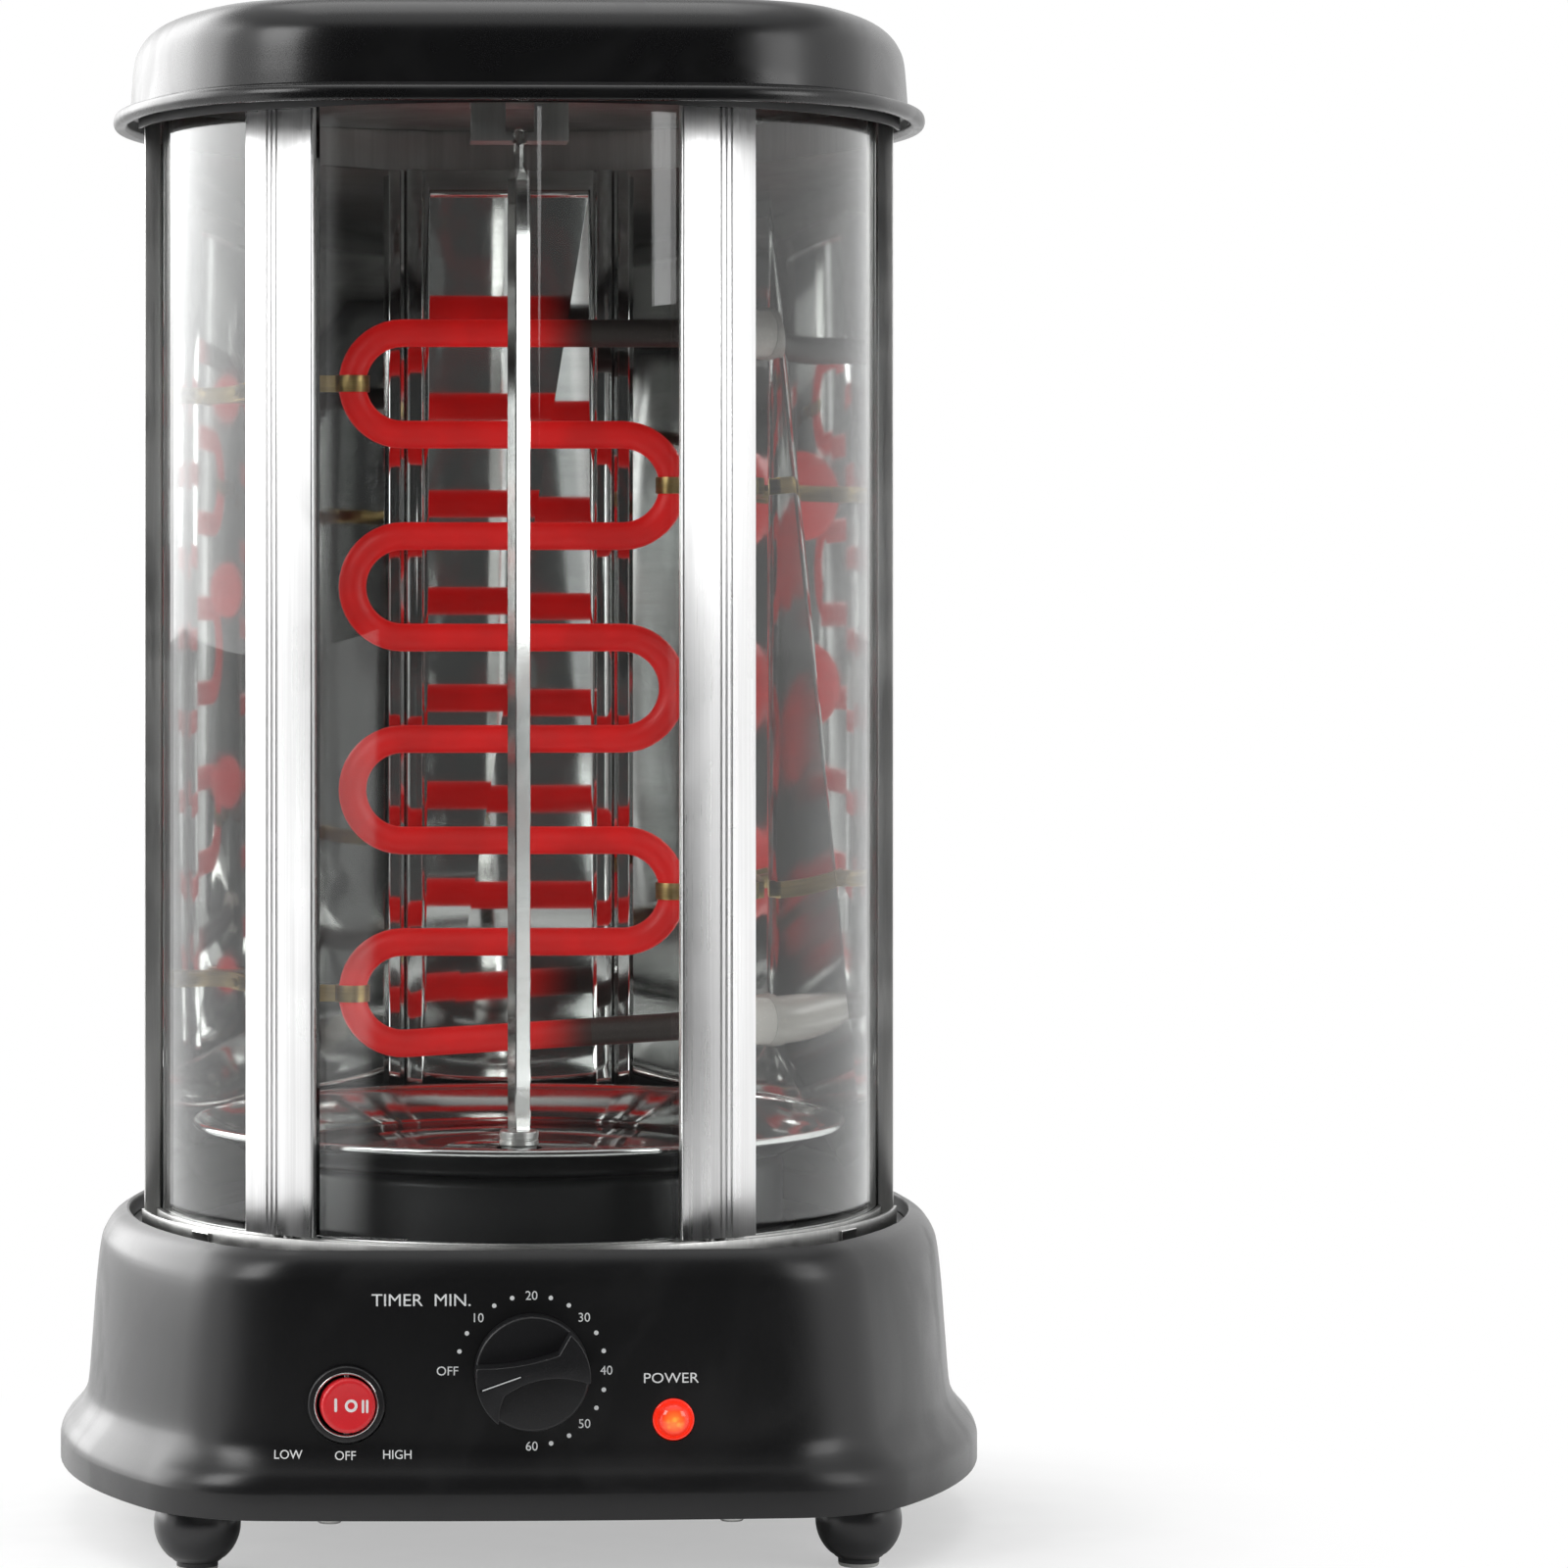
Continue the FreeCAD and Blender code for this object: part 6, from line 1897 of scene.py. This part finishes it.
    def raised(self, outline: Sequence[Flat], hole: Sequence[Flat] | None = None) -> Form:
        """Raises a mark from the face.

        Args:
            outline: Its outline as x and height from the button's middle.
            hole: An inner outline with as many points, if it is a ring.

        Returns:
            The form.
        """
        under, over = 0.05, -0.06
        layers = [(outline, under), (outline, over)]
        if hole is not None:
            layers += [(hole, over), (hole, under)]
        return Form().loft(
            [
                [(self.x + x, self.face_y(x, z) + lift, self.height + z) for x, z in row]
                for row, lift in layers
            ],
            looped=hole is not None,
        )


@dataclass
class PowerLamp(Fitting):
    """The round red lamp."""

    x: float = 42.2
    height: float = 48.5
    seat: float = -119.0562
    flange_radius: float = 6.2
    lens_radius: float = 5.2
    proud: float = 3.4
    hole: float = 5.0

    def cutters(self) -> list[Form]:
        """Gives the flat seat and the hole that the lamp needs in the base."""
        return self.bored(72, (self.flange_radius + 0.3, -8, 0), (self.hole, -1, 9))

    def build(self) -> None:
        """Makes the flange and the domed lens."""
        low, r = self.seat - 1, self.lens_radius
        profile = [(0.0, self.seat), (self.flange_radius, self.seat)]
        profile += reversed(arc((self.flange_radius - 0.5, low + 0.5), 0.5, -90, 0, 4))
        profile += [(r + 0.15, low + 0.02), (r, low + 0.15), (r, low - 0.1)]
        steps = 10
        for index in range(steps + 1):
            share = 1 - index / steps
            profile.append((r * share, low - 0.1 - (self.proud - 0.1) * math.sqrt(1 - share**2)))
        lens = made(self.turned(profile, 72), "lamp_lens.domed")
        placed(lens, Body.GRILL, Slot.LAMP_RED, "lamp_lens", angle=50.0)


@dataclass
class Marks:
    """The plain printed words, numbers and dots round the controls."""

    base: Base
    knob: TimerKnob
    words: tuple[tuple[str, float, float, float, float | None], ...] = (
        ("TIMER  MIN.", -32.8, 84.1, 3.55, 29.4),
        ("LOW", -72.2, 38.7, 2.56, None),
        ("OFF", -55.3, 38.4, 2.56, None),
        ("HIGH", -39.9, 38.7, 2.56, None),
        ("POWER", 41.6, 60.8, 3.0, 16.4),
    )
    number_height: float = 2.65
    ring: float = 22.2
    off_ring: float = 25.0
    dot: float = 0.68
    ink: float = 0.05

    def lettering(self, text: str, x: float, z: float, height: float, width: float | None = None) -> Form:
        """Prints plain letters on the front face.

        Args:
            text: The letters.
            x: Middle of the word.
            z: Its middle height.
            height: Height of its capitals.
            width: Its width, if it is set.

        Returns:
            The form.
        """
        curve = bpy.data.curves.new("lettering", "FONT")
        curve.body = text
        curve.extrude = 0.01
        curve.resolution_u = 4
        thing = bpy.data.objects.new("lettering", curve)
        bpy.context.scene.collection.objects.link(thing)
        bpy.context.view_layer.update()
        mesh = bpy.data.meshes.new_from_object(thing.evaluated_get(bpy.context.evaluated_depsgraph_get()))
        corners = [vertex.co.copy() for vertex in mesh.vertices]
        low = [min(corner[axis] for corner in corners) for axis in (0, 1)]
        high = [max(corner[axis] for corner in corners) for axis in (0, 1)]
        tall = height / (high[1] - low[1])
        wide = width / (high[0] - low[0]) if width else tall
        form = Form()
        for corner in corners:
            px = x + (corner.x - (low[0] + high[0]) / 2) * wide
            pz = z + (corner.y - (low[1] + high[1]) / 2) * tall
            form.points.append(self.on_wall(px, pz, corner.z > 0))
        form.faces = [tuple(face.vertices) for face in mesh.polygons]
        bpy.data.objects.remove(thing)
        bpy.data.meshes.remove(mesh)
        bpy.data.curves.remove(curve)
        return form

    def on_wall(self, x: float, z: float, proud: bool) -> Point:
        """Puts a point on the front face, or just under it."""
        return (x, self.base.front_y(x, z) + (-self.ink if proud else self.ink), z)

    def spot(self, x: float, z: float) -> Form:
        """Prints a round dot."""
        row = arc((x, z), self.dot, 0, 360, 20)[:-1]
        return Form().loft([[self.on_wall(px, pz, proud) for px, pz in row] for proud in (False, True)])

    def build(self) -> None:
        """Prints the dial and the words."""
        dial = Form()
        numbers = {180: "OFF", 135: "10", 90: "20", 45: "30", 0: "40", -45: "50", -90: "60"}
        for angle in range(180, -91, -15):
            a = math.radians(angle)
            radius = self.off_ring if angle == 180 else self.ring
            x, z = radius * math.cos(a), self.knob.height + radius * math.sin(a)
            text = numbers.get(angle)
            dial.join(self.lettering(text, x, z, self.number_height) if text else self.spot(x, z))
        words = Form()
        for word in self.words:
            words.join(self.lettering(*word))
        for form, name in ((dial, "dial_marks"), (words, "control_words")):
            thing = placed(made(form, name), Body.GRILL, Slot.BLACK_ENAMEL)
            thing.data.materials[0] = WHITE_PRINT_AND_HIGHLIGHT.material()


@dataclass
class CordGland(Fitting):
    """The cord gland in the rear wall."""

    x: float = 60.0
    height: float = 44.0
    seat: float = 128.973
    reach: float = 135.0
    bore: float = 3.7
    barrel: float = 6.2
    flange: float = 9.0
    sleeve: float = 5.8
    rib: float = 6.6
    hole: float = 6.3
    seat_radius: float = 9.3

    def cutters(self) -> list[Form]:
        """Gives the flat seat and the hole that the gland needs in the base."""
        return self.bored(72, (self.seat_radius, 0, 12), (self.hole, -9, 1))

    def build(self) -> None:
        """Makes the moulded gland with a rounded mouth."""
        seat, reach = self.seat, self.reach
        profile = [(self.bore, seat - 8), (self.barrel, seat - 8), (self.barrel, seat), (self.flange, seat)]
        profile += [(self.flange, seat + 1.4), (8.4, seat + 2.0), (self.sleeve, seat + 2.0)]
        for index in range(2):
            start = seat + 3 + 1.8 * index
            profile += [(self.sleeve, start), (self.rib, start + 0.15)]
            profile += [(self.rib, start + 0.75), (self.sleeve, start + 0.9)]
        profile += [(self.sleeve, reach - 0.6), (5.2, reach), (4.2, reach), (self.bore, reach - 0.5)]
        gland = made(self.turned(profile, 72), "cord_gland.moulded")
        placed(gland, Body.GRILL, Slot.SWITCH_PLASTIC, "cord_gland")


def dress_inner_parts() -> None:
    """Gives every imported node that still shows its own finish."""
    slots = {part["node"]: part["material_slot"] for part in frame["record"]["subparts"]}
    for name, node in frame["nodes"].items():
        if node.hide_render:
            continue
        material = FINISHES[Slot(slots[name])].material()
        for slot in node.material_slots:
            slot.material = material
        log.info("%s keeps its shape and wears %s", name, material.name)


# Studio


@dataclass
class Studio:
    """A pale floor, soft light and the camera.

    The room is painted by direction: degrees of turn from the front, positive towards the right, and
    degrees of rise above the floor's level. A wedge is its middle turn, the rises of its foot and head,
    and half its width.
    """

    distance: float = 1717.0
    swing: float = 1.8
    eye_height: float = 305.0
    lens: float = 123.48
    shift: Flat = (0.169, -0.145)
    floor_size: float = 30.0
    floor_pale: tuple[Colour, Colour] = ((0.86, 0.86, 0.86), (0.89, 0.89, 0.89))
    floor_dark: Colour = (0.015, 0.015, 0.015)
    floor_front: Flat = (-0.42, -0.16)
    floor_beside: Flat = (-0.05, 0.25)
    floor_near: tuple[float, float, float, float] = (0.14, 0.30, 0.45, 1.0)
    wedges: tuple[tuple[float, float, float, float], ...] = ((1.25, 2.2, 3.9, 0.34), (4.6, 0.4, 5.2, 0.75))
    left: Flat = (-68.0, -56.0)
    left_level: float = 1.35
    strip_near: Flat = (-98.0, -86.0)
    strip_far: Flat = (-168.0, -150.0)
    strip_rise: Flat = (-1.0, 7.0)
    strip_levels: Flat = (0.8, 3.4)
    right: Flat = (52.0, 63.0)
    walls_end: Flat = (30.0, 48.0)
    ceiling: Flat = (34.0, 60.0)
    ceiling_level: float = 0.9
    gap_level: float = 0.035
    aim: Point = (0.0, 0.0, 250.0)
    lamps: tuple[tuple[str, Point, Flat, float], ...] = (
        ("key_left", (-1500.0, -1300.0, 1300.0), (900.0, 900.0), 16.0),
        ("fill_right", (1500.0, -1200.0, 900.0), (900.0, 900.0), 9.0),
        ("top", (0.0, 200.0, 1900.0), (1200.0, 1200.0), 6.0),
    )

    def seen_straight(self, graph: Graph) -> Socket:
        """Tells rays that reach the eye straight or through clear glass from all others.

        Args:
            graph: The material's or the room's graph.

        Returns:
            1 for such a ray and 0 for any other.
        """
        rays = graph.add("ShaderNodeLightPath").outputs
        bounced = graph.sum("ADD", rays["Glossy Depth"], rays["Diffuse Depth"])
        through = graph.sum("MULTIPLY", rays["Is Transmission Ray"], graph.sum("LESS_THAN", bounced, 0.5))
        return graph.sum("MAXIMUM", rays["Is Camera Ray"], through)

    def floor(self) -> None:
        """Lays the floor: white to the eye but shaded by the grill, and dark in front for its reflections."""
        half = self.floor_size / 2 / MM
        thing = made(block((-half, half), (-half, half), (-10.0, 0.0)), "floor")
        material = bpy.data.materials.new("studio_floor")
        material.use_nodes = True
        material.node_tree.nodes.clear()
        graph = Graph(material.node_tree)
        mottle = graph.spread(graph.noise(graph.own_place(), 40.0), 0.3, 0.7)
        pale = graph.blend(mottle, *self.floor_pale)
        axes = graph.add("ShaderNodeSeparateXYZ", {0: graph.own_place()}).outputs
        aside = graph.sum("SUBTRACT", graph.sum("ABSOLUTE", axes[0]), graph.sum("ABSOLUTE", axes[1]))
        beside = graph.spread(aside, *self.floor_beside)
        shown = graph.sum("MAXIMUM", graph.spread(axes[1], *self.floor_front), beside)
        colour = graph.blend(shown, self.floor_dark, pale)
        matt = graph.add("ShaderNodeBsdfPrincipled", {"Base Color": colour, "Roughness": 0.85})
        white = graph.add("ShaderNodeEmission", {"Color": (1.0, 1.0, 1.0, 1.0)})
        level = {0: graph.own_place(), 1: (1.0, 1.0, 0.0)}
        flat = graph.add("ShaderNodeVectorMath", level, operation="MULTIPLY").outputs[0]
        away = graph.add("ShaderNodeVectorMath", {0: flat}, operation="LENGTH").outputs["Value"]
        share = graph.sum("MULTIPLY", self.seen_straight(graph), graph.spread(away, *self.floor_near))
        mix = graph.add("ShaderNodeMixShader", {0: share, 1: matt.outputs[0], 2: white.outputs[0]})
        graph.add("ShaderNodeOutputMaterial", {"Surface": mix.outputs[0]})
        thing.data.materials.append(material)

    def near_light(self, graph: Graph, turn: Socket, rise: Socket) -> Socket:
        """Paints the narrow wedges of light that stand just over the camera.

        Args:
            graph: The room's graph.
            turn: Degrees from the front, positive towards the right.
            rise: Degrees above the floor's level.

        Returns:
            Their brightness.
        """
        total: float | Socket = 0.0
        for centre, foot, head, half in self.wedges:
            reach = graph.sum("MULTIPLY", graph.spread(rise, foot, head), half)
            aside = graph.sum("ABSOLUTE", graph.sum("SUBTRACT", turn, centre))
            inside = graph.spread(graph.sum("SUBTRACT", reach, aside), 0.0, 0.12)
            under = graph.spread(rise, head, head + 0.4, 2.1, 0.0)
            total = graph.sum("MULTIPLY_ADD", inside, under, total)
        return total

    def world(self) -> None:
        """Paints the room round the grill: bright sides and back, and a dark gap behind the camera."""
        world = bpy.data.worlds.new("studio")
        world.use_nodes = True
        world.node_tree.nodes.clear()
        graph = Graph(world.node_tree)
        direction = graph.add("ShaderNodeTexCoord").outputs["Generated"]
        axes = graph.add("ShaderNodeSeparateXYZ", {0: direction}).outputs
        forward = graph.sum("MULTIPLY", axes[1], -1.0)
        turn = graph.sum("MULTIPLY", graph.sum("ARCTAN2", axes[0], forward), 180 / math.pi)
        rise = graph.sum("MULTIPLY", graph.sum("ARCSINE", axes[2]), 180 / math.pi)
        left = graph.spread(turn, *self.left, self.left_level, 0.0)
        strip = graph.spread(turn, *self.strip_near, 1.0, 0.0)
        strip = graph.sum("SUBTRACT", strip, graph.spread(turn, *self.strip_far, 1.0, 0.0))
        bright = graph.spread(rise, *self.strip_rise, *self.strip_levels)
        left = graph.sum("MULTIPLY_ADD", strip, bright, left)
        sides = graph.sum("MAXIMUM", left, graph.spread(turn, *self.right))
        low = graph.spread(rise, *self.walls_end, 1.0, 0.0)
        level = graph.sum("MULTIPLY_ADD", sides, low, self.gap_level)
        level = graph.sum("ADD", level, graph.spread(rise, *self.ceiling, 0.0, self.ceiling_level))
        level = graph.sum("ADD", level, self.near_light(graph, turn, rise))
        level = graph.blend(self.seen_straight(graph), level, (1.0, 1.0, 1.0))
        room = graph.add("ShaderNodeBackground", {"Color": level, "Strength": 1.0})
        graph.add("ShaderNodeOutputWorld", {"Surface": room.outputs[0]})
        bpy.context.scene.world = world

    def lamp(self, name: str, place: Point, size: Flat, power: float) -> None:
        """Hangs a soft lamp that faces the grill.

        Args:
            name: The lamp's name.
            place: Where it hangs, in millimetres.
            size: Its width and height.
            power: Its power in watts.
        """
        data = bpy.data.lights.new(name, "AREA")
        data.shape = "RECTANGLE"
        data.size, data.size_y = (value * MM for value in size)
        data.energy = power
        thing = bpy.data.objects.new(name, data)
        thing.location = Vector(place) * MM
        aim = Vector(self.aim) * MM - thing.location
        thing.rotation_euler = aim.to_track_quat("-Z", "Y").to_euler()
        bpy.context.scene.collection.objects.link(thing)

    def camera(self) -> None:
        """Sets the camera at the photograph's angle."""
        data = bpy.data.cameras.new("camera")
        data.lens = self.lens
        data.sensor_width = 36.0
        data.shift_x, data.shift_y = self.shift
        thing = bpy.data.objects.new("camera", data)
        a = math.radians(self.swing)
        place = (-math.sin(a) * self.distance, -math.cos(a) * self.distance, self.eye_height)
        thing.location = Vector(place) * MM
        thing.rotation_euler = (math.pi / 2, 0.0, -a)
        bpy.context.scene.collection.objects.link(thing)
        bpy.context.scene.camera = thing

    def build(self) -> None:
        """Makes the floor, the room, the lamps and the camera."""
        self.floor()
        self.world()
        for lamp in self.lamps:
            self.lamp(*lamp)
        self.camera()
        bpy.context.scene.view_settings.view_transform = "Standard"


def main() -> None:
    """Builds the grill piece by piece, then the studio."""
    logging.basicConfig(level=logging.INFO, format="%(name)s: %(message)s")
    base = Base()
    knob = TimerKnob()
    switch = RockerSwitch()
    lamp = PowerLamp()
    gland = CordGland()
    base.build(form for fitting in (knob, switch, lamp, gland) for form in fitting.cutters())
    inside = (Pan(), Drum(), Door(), BackShell(), Reflectors(), Element(), Spit(), Lid())
    for assembly in (*inside, knob, switch, lamp, Marks(base, knob), gland):
        assembly.build()
    dress_inner_parts()
    Studio().build()


if __name__ == "__main__":
    main()
